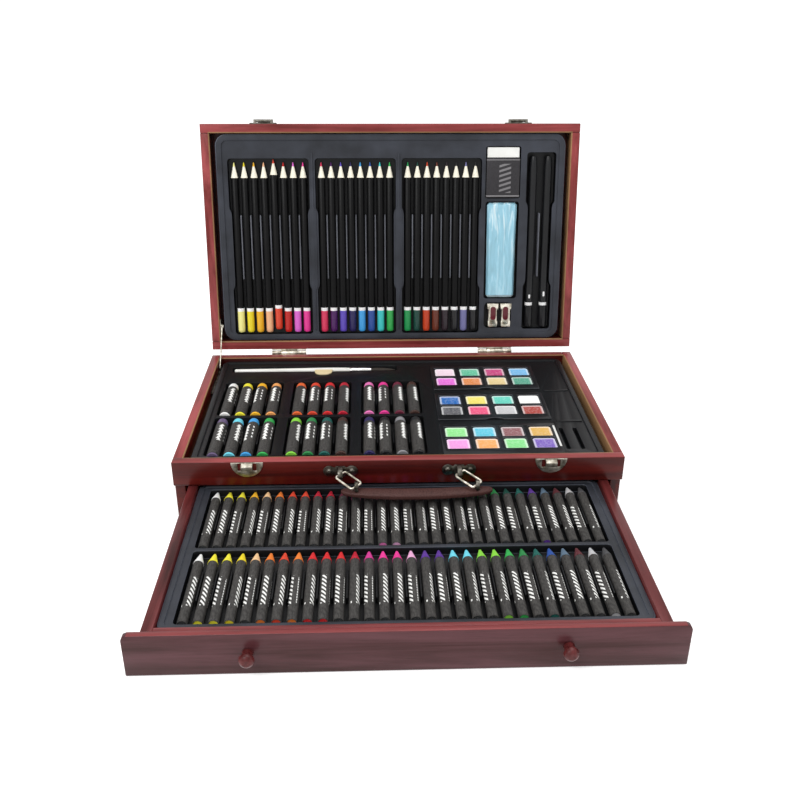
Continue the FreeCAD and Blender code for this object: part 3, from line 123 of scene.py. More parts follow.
def tone(colour, level=1.0):
    """A colour from its screen code, such as "9b484b", or its linear parts, made paler or darker."""
    if isinstance(colour, str):
        parts = [int(colour[place:place + 2], 16) / 255 for place in (0, 2, 4)]
        colour = [part / 12.92 if part < 0.04045 else ((part + 0.055) / 1.055) ** 2.4 for part in parts]
    return [part * level for part in colour]


# ---------------------------------------------------------------- materials

class Shading:
    """A node tree, and short ways to build in it."""

    def __init__(self, tree):
        self.tree = tree

    def feed(self, socket, value):
        """Links a socket, or sets its plain value."""
        if isinstance(value, bpy.types.NodeSocket):
            self.tree.links.new(value, socket)
        elif socket.type == "RGBA":
            socket.default_value = (*value[:3], 1)
        else:
            socket.default_value = value

    def put(self, kind, inputs=None, **settings):
        """Adds one node, sets it, feeds its inputs from numbers or other sockets, and gives its outputs."""
        node = self.tree.nodes.new("ShaderNode" + kind)
        for key, value in settings.items():
            setattr(node, key, value)
        for key, value in (inputs or {}).items():
            self.feed(node.inputs[key], value)
        return node.outputs

    def maths(self, operation, first, second=0.0):
        """One Math node's result."""
        return self.put("Math", {0: first, 1: second}, operation=operation)[0]

    def plus(self, first, second):
        """A sum."""
        return self.maths("ADD", first, second)

    def times(self, first, second):
        """A product."""
        return self.maths("MULTIPLY", first, second)

    def mix(self, factor, first, second):
        """Two colours mixed."""
        return self.put("Mix", {0: factor, 6: first, 7: second}, data_type="RGBA")[2]

    def spread(self, value, low, high, start=0.0, end=1.0, **settings):
        """A measure between two values, as a share of the way between two others."""
        return self.put("MapRange", {0: value, 1: low, 2: high, 3: start, 4: end}, **settings)[0]

    def ramp(self, factor, low, high, start=0, end=1):
        """A grey ramp from one place on it to another."""
        node = self.tree.nodes.new("ShaderNodeValToRGB")
        self.feed(node.inputs[0], factor)
        for element, place, grey in zip(node.color_ramp.elements, (low, high), (start, end)):
            element.position, element.color = place, (grey, grey, grey, 1)
        return node.outputs[0]

    def band(self, value, low, high):
        """1 between two values of a measure and 0 outside them, with a soft edge."""
        soft = 0.0001
        up, down = (self.spread(value, edge - soft, edge + soft, interpolation_type="SMOOTHSTEP")
                    for edge in (low, high))
        return self.maths("SUBTRACT", up, down)

    def stroke(self, along, around, lean, period, share):
        """Slanting strokes: 1 on a share of each period along the stick."""
        run = self.maths("DIVIDE", self.plus(along, self.times(around, lean)), period)
        return self.maths("LESS_THAN", self.maths("FRACT", run), share)

    def noise(self, place, scale, detail=4.0, roughness=0.55, distortion=0.0):
        """One noise field."""
        return self.put("TexNoise", {"Vector": place, "Scale": scale, "Detail": detail, "Roughness": roughness,
                                     "Distortion": distortion})[0]

    def stretch(self, place, scale, turn=(0, 0, 0)):
        """A place with its axes scaled and turned."""
        return self.put("Mapping", {"Vector": place, "Scale": scale, "Rotation": turn})[0]

    def place(self):
        """The point on the piece."""
        return self.put("TexCoord")["Object"]

    def tint(self):
        """The colour that the mesh carries."""
        return self.put("Attribute", attribute_name="tint")["Color"]

    def own_place(self):
        """The place that the mesh carries, and its three parts."""
        own = self.put("Attribute", attribute_name="own_place")["Vector"]
        return own, *self.put("SeparateXYZ", {0: own})

    def bump(self, height, strength, distance, **settings):
        """A relief, for the shader's Normal."""
        return self.put("Bump", {"Height": height, "Strength": strength, "Distance": distance}, **settings)[0]

    def seen_directly(self):
        """1 for rays that look at the background itself: the camera's, and those in metal and glass."""
        rays = self.put("LightPath")
        return self.maths("MAXIMUM", self.maths("MAXIMUM", rays["Is Camera Ray"], rays["Is Glossy Ray"]),
                          rays["Is Transmission Ray"])


def varnished_timber(shade, given):
    """Long figure, fine pores and a lacquer that is not quite even."""
    figure = shade.noise(shade.stretch(given["Place"], (5, 90, 90)), 1, 6, 0.6, 0.6)
    pores = shade.noise(shade.stretch(given["Place"], (40, 900, 900)), 1, 3, 0.7)
    cloud = shade.noise(given["Place"], 14, 3)
    streaks = shade.plus(shade.times(figure, 0.75), shade.times(cloud, 0.25))
    colour = shade.mix(shade.ramp(streaks, 0.36, 0.62), given["Deep"], given["Pale"])
    open_pores = shade.times(shade.ramp(pores, 0.3, 0.45, 1, 0), 0.3)
    return (shade.mix(open_pores, colour, (0.02, 0.006, 0.005)), shade.spread(cloud, 0, 1, 0.24, 0.42),
            shade.bump(shade.plus(pores, figure), 0.25, 0.0003))


def formed_sheet(shade, given):
    """Thin formed sheet: a fine stipple and slow waves."""
    stipple = shade.noise(given["Place"], 900, 2)
    waves = shade.noise(given["Place"], 22, 3)
    return (shade.mix(shade.ramp(waves, 0.35, 0.7), given["Deep"], given["Pale"]),
            shade.spread(stipple, 0, 1, 0.34, 0.52),
            shade.bump(shade.plus(shade.times(stipple, 0.12), waves), given["Relief"], 0.0006))


def plated_metal(shade, given):
    """Bright plate with fine scratches and duller patches."""
    scratch = shade.noise(shade.stretch(given["Place"], (60, 1400, 900), (0, 0, 0.6)), 1, 2)
    patch = shade.noise(given["Place"], 160)
    return (shade.mix(shade.ramp(patch, 0.38, 0.62), given["Deep"], given["Pale"]),
            shade.plus(given["Gloss"], shade.times(patch, 0.18)), shade.bump(scratch, 0.12, 0.0001))


def shared(effect, values):
    """An effect's node group, made at its first use, from a Place and named inputs."""
    name = effect.__name__
    if name in bpy.data.node_groups:
        return bpy.data.node_groups[name]
    tree = bpy.data.node_groups.new(name, "ShaderNodeTree")
    kinds = {label: "Float" if isinstance(value, float) else "Color" for label, value in values.items()}
    results = {"Color": "Color", "Roughness": "Float", "Normal": "Vector"}
    for way, sockets in (("INPUT", {"Place": "Vector", **kinds}), ("OUTPUT", results)):
        for label, kind in sockets.items():
            tree.interface.new_socket(label, in_out=way, socket_type="NodeSocket" + kind)
    entry, leave = (tree.nodes.new("NodeGroup" + way) for way in ("Input", "Output"))
    for label, socket in zip(results, effect(Shading(tree), entry.outputs)):
        tree.links.new(socket, leave.inputs[label])
    return tree


class Finish(Shading):
    """A new material, and its Principled shader."""

    def __init__(self, name, **plain):
        self.material = bpy.data.materials.new(name)
        self.material.use_nodes = True
        super().__init__(self.material.node_tree)
        self.shader = self.tree.nodes["Principled BSDF"]
        self.set(**{"Specular_IOR_Level": 0.18, **plain})

    def set(self, **values):
        """Feeds the shader's own sockets, named with _ for a space, and gives the material."""
        for key, value in values.items():
            self.feed(self.shader.inputs[key.replace("_", " ")], value)
        return self.material

    def effect(self, effect, place, pale, deep, **amounts):
        """A shared effect's colour, roughness and relief, in this material."""
        values = {"Pale": tone(pale), "Deep": tone(deep), **amounts}
        return self.put("Group", {"Place": place, **values}, node_tree=shared(effect, values))

    def wear(self, effect, place, pale, deep, **amounts):
        """Wears a shared effect as it is, and gives the material."""
        colour, rough, normal = self.effect(effect, place, pale, deep, **amounts)
        return self.set(Base_Color=colour, Roughness=rough, Normal=normal)


def timber(name, pale, deep, axis="x", coat=0.14):
    """Wood with its grain along an axis."""
    wood = Finish(name, Coat_Weight=coat, Coat_Roughness=0.18)
    return wood.wear(varnished_timber, wood.stretch(wood.place(), (1, 1, 1), GRAIN[axis]), pale, deep)


def plastic(name, pale, deep, relief=0.35, coat=(0, 0.03), **plain):
    """Moulded or lacquered stuff under a clear coat of some weight and roughness."""
    sheet = Finish(name, Coat_Weight=coat[0], Coat_Roughness=coat[1], **plain)
    return sheet.wear(formed_sheet, sheet.place(), pale, deep, Relief=relief)


def wax(name, roughness=0.42, rubbed=0.1, **plain):
    """Coloured stick: the tint that the mesh carries, with pressed grain and rubbed patches."""
    stick = Finish(name, Subsurface_Weight=0.03, Subsurface_Radius=(0.002, 0.001, 0.0008), **plain)
    place = stick.place()
    grain, patch = stick.noise(place, 1500, 3), stick.noise(place, 180, 3)
    dark = stick.mix(stick.times(stick.ramp(patch, 0.3, 0.7), rubbed), stick.tint(), (0.02, 0.02, 0.02))
    return stick.set(Base_Color=stick.mix(stick.times(stick.ramp(grain, 0.55, 0.7), rubbed), dark, (1, 1, 1)),
                     Roughness=stick.plus(roughness, stick.times(grain, 0.2)),
                     Normal=stick.bump(grain, 0.3, 0.0001))


def sleeve(name, radius, marks):
    """Dark paper sleeve printed with plain white marks. It reads each stick's own place."""
    paper = Finish(name)
    own, across, along, high = paper.own_place()
    ink = marks(paper, paper.times(paper.maths("ARCTAN2", across, high), radius), along)
    fibre = paper.noise(paper.stretch(own, (900, 350, 900)), 1)
    colour = paper.mix(paper.ramp(fibre, 0.35, 0.65), tone("302f2e"), tone("4d4b49"))
    return paper.set(Base_Color=paper.mix(ink, colour, tone("f2f2ee")),
                     Roughness=paper.plus(0.45, paper.times(fibre, 0.3)), Normal=paper.bump(fibre, 0.2, 0.0001))


def dash_marks(paper, around, along):
    """On crayons: a row of plain slanting dashes, with a thin dotted line and a dot beside it."""
    row = paper.times(paper.maths("LESS_THAN", paper.maths("ABSOLUTE", around), 0.0019),
                      paper.stroke(along, around, 1.15, 0.0046, 0.5))
    row = paper.times(row, paper.band(along, 0.0165, 0.049))
    line = paper.times(paper.times(paper.band(around, 0.0056, 0.0064), paper.band(along, 0.018, 0.047)),
                       paper.stroke(along, around, 0, 0.0029, 0.72))
    dot = paper.times(paper.band(around, -0.0064, -0.0052), paper.band(along, 0.0165, 0.0185))
    return paper.maths("MINIMUM", paper.plus(paper.plus(row, line), dot), 1.0)


def ribbon_marks(paper, around, along):
    """On pastels: one wavy ribbon, with short dashes beside it."""
    waver = paper.times(paper.maths("SINE", paper.times(along, 1150)), 0.0007)
    half = paper.plus(paper.times(paper.maths("SINE", paper.times(along, 2300)), 0.0005), 0.00145)
    ribbon = paper.maths("LESS_THAN", paper.maths("ABSOLUTE", paper.plus(around, waver)), half)
    ribbon = paper.times(ribbon, paper.band(along, 0.0245, 0.054))
    line = paper.times(paper.times(paper.band(along, 0.026, 0.052), paper.band(around, 0.0055, 0.0068)),
                       paper.stroke(along, around, 0.4, 0.0062, 0.5))
    return paper.maths("MAXIMUM", ribbon, line)


def nickel(name):
    """Plate in one of its states, made once."""
    if name in bpy.data.materials:
        return bpy.data.materials[name]
    # The hinges' and the stay link's plate is made pale, a painted highlight.
    level, gloss = {"nickel": (0.55, 0.24), "dull_nickel": (0.24, 0.26), "bright_wire": (1.4, 0.2),
                    "soft_nickel": (1.0, 0.3), "dark_latch": (0.3, 0.4), "painted_highlight_nickel": (1.3, 0.3)}[name]
    metal = bpy.context.scene.box_metal
    pale, deep = ([min(part, 1) for part in tone(colour, level)] for colour in (metal.nickel, metal.tarnish))
    plate = Finish(name, Metallic=1.0)
    return plate.wear(plated_metal, plate.place(), pale, deep, Gloss=gloss)


def mahogany(kind, axis):
    """Mahogany of one kind and grain direction, made once."""
    wood = bpy.context.scene.box_wood
    pale, deep = {
        "rim": (wood.rim, wood.face), "face": (wood.face, wood.deep), "drawer": (wood.drawer, wood.deep),
        "wall": (tone(wood.rim, 0.5), wood.deep), "strip": (tone(wood.rim, 0.75), tone(wood.rim, 0.35)),
        "raw": (wood.raw, tone(wood.raw, 0.6))}[kind]
    name = f"{kind}_mahogany_{axis}"
    return bpy.data.materials.get(name) or timber(name, pale, deep, axis, 0.0 if kind == "raw" else 0.14)


# ---------------------------------------------------------------- meshes

def deselect():
    """Leaves nothing selected."""
    bpy.ops.object.select_all(action="DESELECT")


def pick(*things):
    """Selects only these, the first of them active."""
    deselect()
    for thing in things:
        thing.select_set(True)
    bpy.context.view_layer.objects.active = things[0]


@contextmanager
def editing():
    """Edit mode with everything selected, and object mode again after it."""
    bpy.ops.object.mode_set(mode="EDIT")
    bpy.ops.mesh.select_all(action="SELECT")
    yield
    bpy.ops.object.mode_set(mode="OBJECT")


def added(name):
    """Names the primitive just added and settles its place into its mesh."""
    thing = bpy.context.object
    thing.name = thing.data.name = name
    bpy.ops.object.transform_apply(location=True, rotation=True, scale=True)
    return thing


def closed():
    """Turns all faces outwards once a shape is drawn out."""
    bpy.ops.mesh.select_all(action="SELECT")
    bpy.ops.mesh.normals_make_consistent(inside=False)


def turned(name, stations, radius=MM, sides=24, length=MM):
    """A round stick along +Y, closed at both ends, from (share of the radius, share of the length) stations."""
    rings = [(radius * wide, length * place) for wide, place in stations]
    deselect()
    bpy.ops.mesh.primitive_circle_add(vertices=sides, radius=rings[0][0], fill_type="NGON",
                                      location=(0, rings[0][1], 0), rotation=(math.pi / 2, 0, 0))
    stick = added(name)
    with editing():
        for (before, start), (wide, place) in zip(rings, rings[1:]):
            bpy.ops.mesh.extrude_region_move(TRANSFORM_OT_translate={"value": (0, place - start, 0)})
            ratio = wide / before
            bpy.ops.transform.resize(value=(ratio, 1, ratio), center_override=(0, place, 0))
        closed()
    return stick


def by_length(stick, *bands):
    """Gives each face the material slot of the stretch of Y that its middle is in: (up to, slot) pairs."""
    for face in stick.data.polygons:
        face.material_index = next(slot for limit, slot in bands if face.center.y < limit)


def remember_place(thing):
    """Keeps each point's own place as an attribute, so that a printed pattern stays on the piece."""
    points = thing.data.attributes.new("own_place", "FLOAT_VECTOR", "POINT")
    for index, vertex in enumerate(thing.data.vertices):
        points.data[index].vector = vertex.co


def tinted(thing, colour, slots=None):
    """Writes a colour on the mesh: on every face, or on those of the given material slots."""
    mesh = thing.data
    layer = mesh.color_attributes.get("tint") or mesh.color_attributes.new("tint", "FLOAT_COLOR", "CORNER")
    for face in mesh.polygons:
        if slots is None or face.material_index in slots:
            for corner in face.loop_indices:
                layer.data[corner].color = (*colour, 1)


def placed(model, name, matrix):
    """A copy of one modelled piece, with a mesh of its own, moved by the matrix."""
    copy = bpy.data.objects.new(name, model.data.copy())
    copy.data.name = name
    bpy.context.scene.collection.objects.link(copy)
    copy.data.transform(matrix)
    return copy


def joined(name, things):
    """Several pieces as one."""
    pick(*things)
    bpy.ops.object.join()
    thing = bpy.context.object
    thing.name = thing.data.name = name
    return thing


def smooth(thing, degrees=40):
    """Smooth faces, with edges sharper than this kept."""
    pick(thing)
    bpy.ops.object.shade_smooth_by_angle(angle=math.radians(degrees))


def coat(thing, *materials):
    """Sets the material slots, in order."""
    thing.data.materials.clear()
    for material in materials:
        thing.data.materials.append(material)


def settle(thing, body, node=None):
    """The piece rides on its body and may stand for a CAD node."""
    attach(thing, body)
    if node:
        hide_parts(node)


def apply_modifier(thing, kind, **settings):
    """Adds one modifier and applies it."""
    pick(thing)
    modifier = thing.modifiers.new(kind.lower(), kind)
    for key, value in settings.items():
        setattr(modifier, key, value)
    bpy.ops.object.modifier_apply(modifier=modifier.name)


def bevelled(thing, width, segments, angle=math.radians(50)):
    """Rounds all edges sharper than an angle."""
    apply_modifier(thing, "BEVEL", width=width, segments=segments, limit_method="ANGLE", angle_limit=angle)


def merged(name, node):
    """A copy of a CAD node with its loose triangles joined into plain faces."""
    thing = placed(FRAME["nodes"][node], name, Matrix())
    thing.data.materials.clear()
    pick(thing)
    with editing():
        bpy.ops.mesh.remove_doubles(threshold=0.00001)
        bpy.ops.mesh.dissolve_limited(angle_limit=math.radians(1))
    return thing


def eased(name, width, node, segments=2):
    """A merged copy of a CAD node with its edges rounded."""
    thing = merged(name, node)
    bevelled(thing, width, segments, math.radians(30))
    smooth(thing)
    return thing


def facing(thing, direction, place, slot):
    """Puts another material slot on faces that look along a direction from a place on it."""
    squarely, reach = 0.75, 0.0004
    for face in thing.data.polygons:
        if face.normal.dot(direction) > squarely and abs(face.center.dot(direction) - place) < reach:
            face.material_index = slot


def bare_inside(board, matrix, floor, ceiling, lift):
    """Bare wood on the right wall's inner face, and on a thin line along the rim beside the tray. The other inner
    faces keep the dark face mahogany, as painted shade inside the box.

    The lift sets the rim's own points back from the shut lid's level, in metres.
    """
    wide, deep, line, right_wall, near = 183.2 * MM, 107.2 * MM, 1.6 * MM, 150 * MM, 0.00001
    pick(board)
    with editing():
        for side, place in (((1, 0, 0), wide), ((-1, 0, 0), wide), ((0, 1, 0), deep), ((0, -1, 0), deep),
                            ((0, 0, 1), RIM + line)):
            bpy.ops.mesh.select_all(action="SELECT")
            axis = Vector(side)
            foot = axis * place
            bpy.ops.mesh.bisect(plane_co=matrix @ foot, plane_no=matrix.to_3x3() @ axis)
    back = matrix.inverted()
    set_back = matrix.to_3x3() @ Vector((0, 0, lift))
    for vertex in board.data.vertices:
        if lift and abs((back @ vertex.co).z - RIM) < near:
            vertex.co += set_back
    for face in board.data.polygons:
        middle = back @ face.center
        near_rim = abs(middle.z - RIM) <= line + 4 * near
        inside = abs(middle.x) < wide and abs(middle.y) < deep and floor < middle.z < ceiling
        if inside and (near_rim or middle.x > right_wall):
            face.material_index = 2


def rounded(thing, slot):
    """Gives the rounded upper edges another material slot, which carries a painted highlight."""
    upright, flat = 0.25, 0.96
    for face in thing.data.polygons:
        if upright < face.normal.z < flat:
            face.material_index = slot


def node_box(node, matrix=Matrix()):
    """The lowest and highest corner of a CAD node, in the frame that the matrix comes from."""
    back = matrix.inverted()
    points = [back @ vertex.co for vertex in FRAME["nodes"][node].data.vertices]
    return [Vector([pick_one(point[axis] for point in points) for axis in range(3)]) for pick_one in (min, max)]


def stick_size(node, matrix=Matrix()):
    """The radius in metres and the length in millimetres of the sticks in a CAD row along Y."""
    low, high = node_box(node, matrix)
    return (high.z - low.z) / 2, (high.y - low.y) / MM


def outline(start, end, half, corner, middle=(), steps=4):
    """(Y, half width) stations of a rounded rectangle, with other stations between its corners."""
    turn = [math.pi / 2 * step / steps for step in range(steps + 1)]
    near, far = ([(edge + way * corner * (1 - math.cos(angle)), half - corner * (1 - math.sin(angle)))
                  for angle in turn] for edge, way in ((start, 1), (end, -1)))
    return near + list(middle) + far[::-1]


def waisted(start, end, half, corner, low, high, narrow, ease=5):
    """An outline that draws in by a little between two places."""
    inner, most = half - narrow, half - narrow * 0.75
    return outline(start, end, half, corner, [
        (low - ease, half), (low - ease * 0.3, most), (low + ease * 0.4, inner), (high - ease * 0.4, inner),
        (high + ease * 0.3, most), (high + ease, half)])


def choose(thing, kind, test):
    """In edit mode, selects only the points, edges or faces (VERT, EDGE or FACE) that pass the test."""
    bpy.ops.mesh.select_mode(type=kind)
    bpy.ops.mesh.select_all(action="DESELECT")
    work = bmesh.from_edit_mesh(thing.data)
    for part in {"VERT": work.verts, "EDGE": work.edges, "FACE": work.faces}[kind]:
        part.select = test(part)
    work.select_flush_mode()
    bmesh.update_edit_mesh(thing.data)


def channel(name, across, stations, low, high, draft=0.0):
    """A flat-topped bar along Y, in millimetres, from (Y, half width) stations, narrower below by the draft."""
    deselect()
    place, half = stations[0]
    middle = (low + high) / 2 * MM
    bpy.ops.mesh.primitive_plane_add(size=2, location=(across * MM, place * MM, middle),
                                     rotation=(math.pi / 2, 0, 0))
    bpy.context.object.scale = (half * MM, (high - low) / 2 * MM, 1)
    bar = added(name)
    with editing():
        for (start, before), (place, half) in zip(stations, stations[1:]):
            bpy.ops.mesh.extrude_region_move(TRANSFORM_OT_translate={"value": (0, (place - start) * MM, 0)})
            bpy.ops.transform.resize(value=(half / before, 1, 1),
                                     center_override=(across * MM, place * MM, middle))
        closed()
        bpy.ops.mesh.dissolve_limited(angle_limit=math.radians(1))
        if draft:
            start, end, wide = stations[0][0], stations[-1][0], max(half for place, half in stations)
            choose(bar, "VERT", lambda point: point.co.z < middle)
            bpy.ops.transform.resize(value=(1 - draft / wide, 1 - 2 * draft / (end - start), 1),
                                     center_override=(across * MM, (start + end) / 2 * MM, low * MM))
    return bar


def round_above(thing, level, offset, segments):
    """Rounds the edges that lie wholly above a level in millimetres."""
    pick(thing)
    with editing():
        choose(thing, "EDGE", lambda edge: min(end.co.z for end in edge.verts) > level * MM)
        bpy.ops.mesh.bevel(offset=offset * MM, segments=segments, affect="EDGES")


def sunk(thing, cutters):
    """Cuts wells out of a slab with other shapes, which are used up."""
    tool = joined("cutters", cutters)
    apply_modifier(thing, "BOOLEAN", operation="DIFFERENCE", object=tool, solver="EXACT", use_self=True)
    bpy.data.objects.remove(tool)


# ---------------------------------------------------------------- settings

def colour_setting(name, description, code):
    """One colour that a user may change."""
    return bpy.props.FloatVectorProperty(name=name, description=description, subtype="COLOR", size=3, min=0,
                                         max=1, default=tone(code))


def length_setting(name, description, millimetres):
    """One size that a user may change."""
    return bpy.props.FloatProperty(name=name, description=description, default=millimetres * MM, min=0,
                                   unit="LENGTH", precision=5)


class BoxWood(bpy.types.PropertyGroup):
    """The timber's colours and edges."""
    rim: colour_setting("Rim", "Mahogany where the light reaches the rims", "a04849")
    face: colour_setting("Face", "Mahogany on the upright faces", "5e1812")
    deep: colour_setting("Deep", "Dark streaks of the mahogany", "340c0a")
    drawer: colour_setting("Drawer front", "Browner mahogany of the drawer panel", "5c363b")
    raw: colour_setting("Raw wood", "Bare inner faces", "a07a55")
    edge: length_setting("Edge rounding", "How much the boards' edges are rounded", 0.7)


class BoxSheet(bpy.types.PropertyGroup):
    """The formed trays."""
    pale: colour_setting("Raised sheet", "Charcoal sheet where it shines", "3a3d45")
    deep: colour_setting("Dull sheet", "Charcoal sheet where it is dull", "26282d")
    # Painted highlight: the lid tray's ribs are painted paler than the sheet, for the light on their tops.
    rib: colour_setting("Ribs", "Rubbed tops of the ribs between the sticks", "70727a")
    # Painted shade: the colour the sheet turns to down in the wells, standing in for their shadow.
    well_shade: colour_setting("Hollows", "Charcoal sheet down in the wells", "0d0e10")
    edge: length_setting("Sheet rounding", "How round the sheet's edges are", 0.8)


class BoxMetal(bpy.types.PropertyGroup):
    """The metalwork."""
    nickel: colour_setting("Nickel", "Bright plated parts", "d2cdc0")
    tarnish: colour_setting("Tarnish", "Duller patches of the plate", "8a8476")
    grip: colour_setting("Grip", "Leather cloth of the grip", "4a2a26")


class BoxColours(bpy.types.PropertyGroup):
    """Finishes of the drawing things."""
    lacquer: colour_setting("Lacquer", "Black pencil lacquer", "0a0a0b")
    cone: colour_setting("Pencil wood", "Sharpened wood", "fff9e6")
    band: colour_setting("Band", "White ring on each pencil", "ffffff")
    film: colour_setting("Film", "Pale blue film round the soft block", "9fd6ea")


GROUPS = {"box_wood": BoxWood, "box_sheet": BoxSheet, "box_metal": BoxMetal, "box_colours": BoxColours}


# ---------------------------------------------------------------- the pieces

class PENCILBOX_OT_boards(bpy.types.Operator):
    """Case, lid and drawer boards with rounded edges and grain along each board"""
    bl_idname = "pencilbox.boards"
    bl_label = "Boards"

    def execute(self, context):
        edge = context.scene.box_wood.edge
        lid_out = LID.to_3x3() @ Vector((0, 0, -1))
        lid_rim = (LID @ Vector((0, 0, RIM))).dot(lid_out)
        for label, body, node, axis in (
                ("case_side_boards", "case", "side_boards", "y"),
                ("case_front_board", "case", "front_board", "x"),
                ("case_back_board", "case", "back_board", "x"), ("lid_sides", "lid", "lid_side_boards", "z"),
                ("lid_front", "lid", "lid_front_board", "x"), ("lid_back", "lid", "lid_back_board", "x"),
                ("lid_top", "lid", "lid_panel", "x"), ("drawer_face", "drawer", "drawer_panel", "x")):
            board = eased(label, edge, node)
            kinds = ("drawer", "strip", "raw") if body == "drawer" else ("face", "rim", "raw")
            coat(board, *(mahogany(kind, axis) for kind in kinds))
            # Slot 1, on the top faces and on the shut lid's rim, is the paler rim mahogany (strip on the drawer):
            # a painted highlight where light from above falls.
            if body == "lid":
                facing(board, lid_out, lid_rim, 1)
                bare_inside(board, LID, 56.9 * MM, 77.9 * MM, 0.00003)
            else:
                facing(board, Vector((0, 0, 1)), node_box(node)[1].z, 1)
            if body == "case":
                bare_inside(board, Matrix(), 45 * MM, 57.01 * MM, 0)
            settle(board, body, node)
        for label, body, slot, node, kind, axis in (
                ("case_floor", "case", "panel_wood", "bottom_panel", "raw", "x"),
                ("case_shelf", "case", "panel_wood", "shelf_panel", "raw", "x"),
                ("runners", "case", "drawer_wood", "drawer_runners", "raw", "y"),
                ("drawer_front", "drawer", "drawer_wood", "drawer_front_wall", "strip", "x"),
                ("drawer_walls", "drawer", "drawer_wood", "drawer_sides", "wall", "y"),
                ("drawer_back", "drawer", "drawer_wood", "drawer_back_wall", "wall", "x"),
                ("drawer_floor", "drawer", "panel_wood", "drawer_bottom", "raw", "x"),
                ("turned_knobs", "drawer", "mahogany", "drawer_knobs", "wall", "y")):
            board = eased(label, 0.0004 if node == "drawer_knobs" else edge * 0.7, node)
            coat(board, mahogany(kind, axis))
            settle(board, body, node)
        return {"FINISHED"}


def formed_tray(coats, half, start, end, deep, lip, corner, wells, ribs, ridges=()):
    """A formed sheet tray with its face at Z 0, a rounded lip round it, wells, thin ribs and broad ridges."""
    rise, brow = 1.2, 0.1
    slab = channel("tray", 0, outline(start, end, half, corner, steps=6), -deep, rise)
    round_above(slab, rise - brow, 1.6, 4)
    field = channel("field", 0, outline(start + lip, end - lip, half - lip, max(corner - lip, 3), steps=5),
                    0, rise + 2, 0.4)
    sunk(slab, [field] + [channel("well", across, stations, -floor, 0.2, 0.5)
                          for across, stations, floor in wells])
    coat(slab, *coats)
    pieces = [slab]
    for places, rib_start, rib_end, low, high in ribs:
        rib = channel("rib", 0, outline(rib_start, rib_end, 0.65, 0.62, steps=3), low, high)
        round_above(rib, high - brow, 0.45, 2)
        coat(rib, *coats)
        by_length(rib, (1, 1))
        pieces += [placed(rib, "rib", shift(place, 0, 0)) for place in places]
        bpy.data.objects.remove(rib)
    for across, stations, height in ridges:
        ridge = channel("ridge", across, stations, -0.5, height)
        round_above(ridge, height - brow, 0.5, 3)
        coat(ridge, *coats)
        pieces.append(ridge)
    bevelled(slab, bpy.context.scene.box_sheet.edge, 3)
    # Painted highlight: the slab's rounded upper edges take the paler third material.
    rounded(slab, 2)
    return joined("tray", pieces)


def sheet_material(name, pale, deep, well_shade):
    """Charcoal sheet with painted shade down in its wells. It reads the tray's own place."""
    sheet = Finish(name, Coat_Weight=0.1, Coat_Roughness=0.3)
    own, _, _, high = sheet.own_place()
    colour, rough, normal = sheet.effect(formed_sheet, own, pale, deep, Relief=0.35)
    # Painted shade: below the tray's face the sheet darkens towards the well shade colour.
    well_shade_mask = sheet.spread(high, -0.0012, -0.0003, 1.0, 0.0)
    return sheet.set(Base_Color=sheet.mix(well_shade_mask, colour, well_shade), Roughness=rough, Normal=normal)


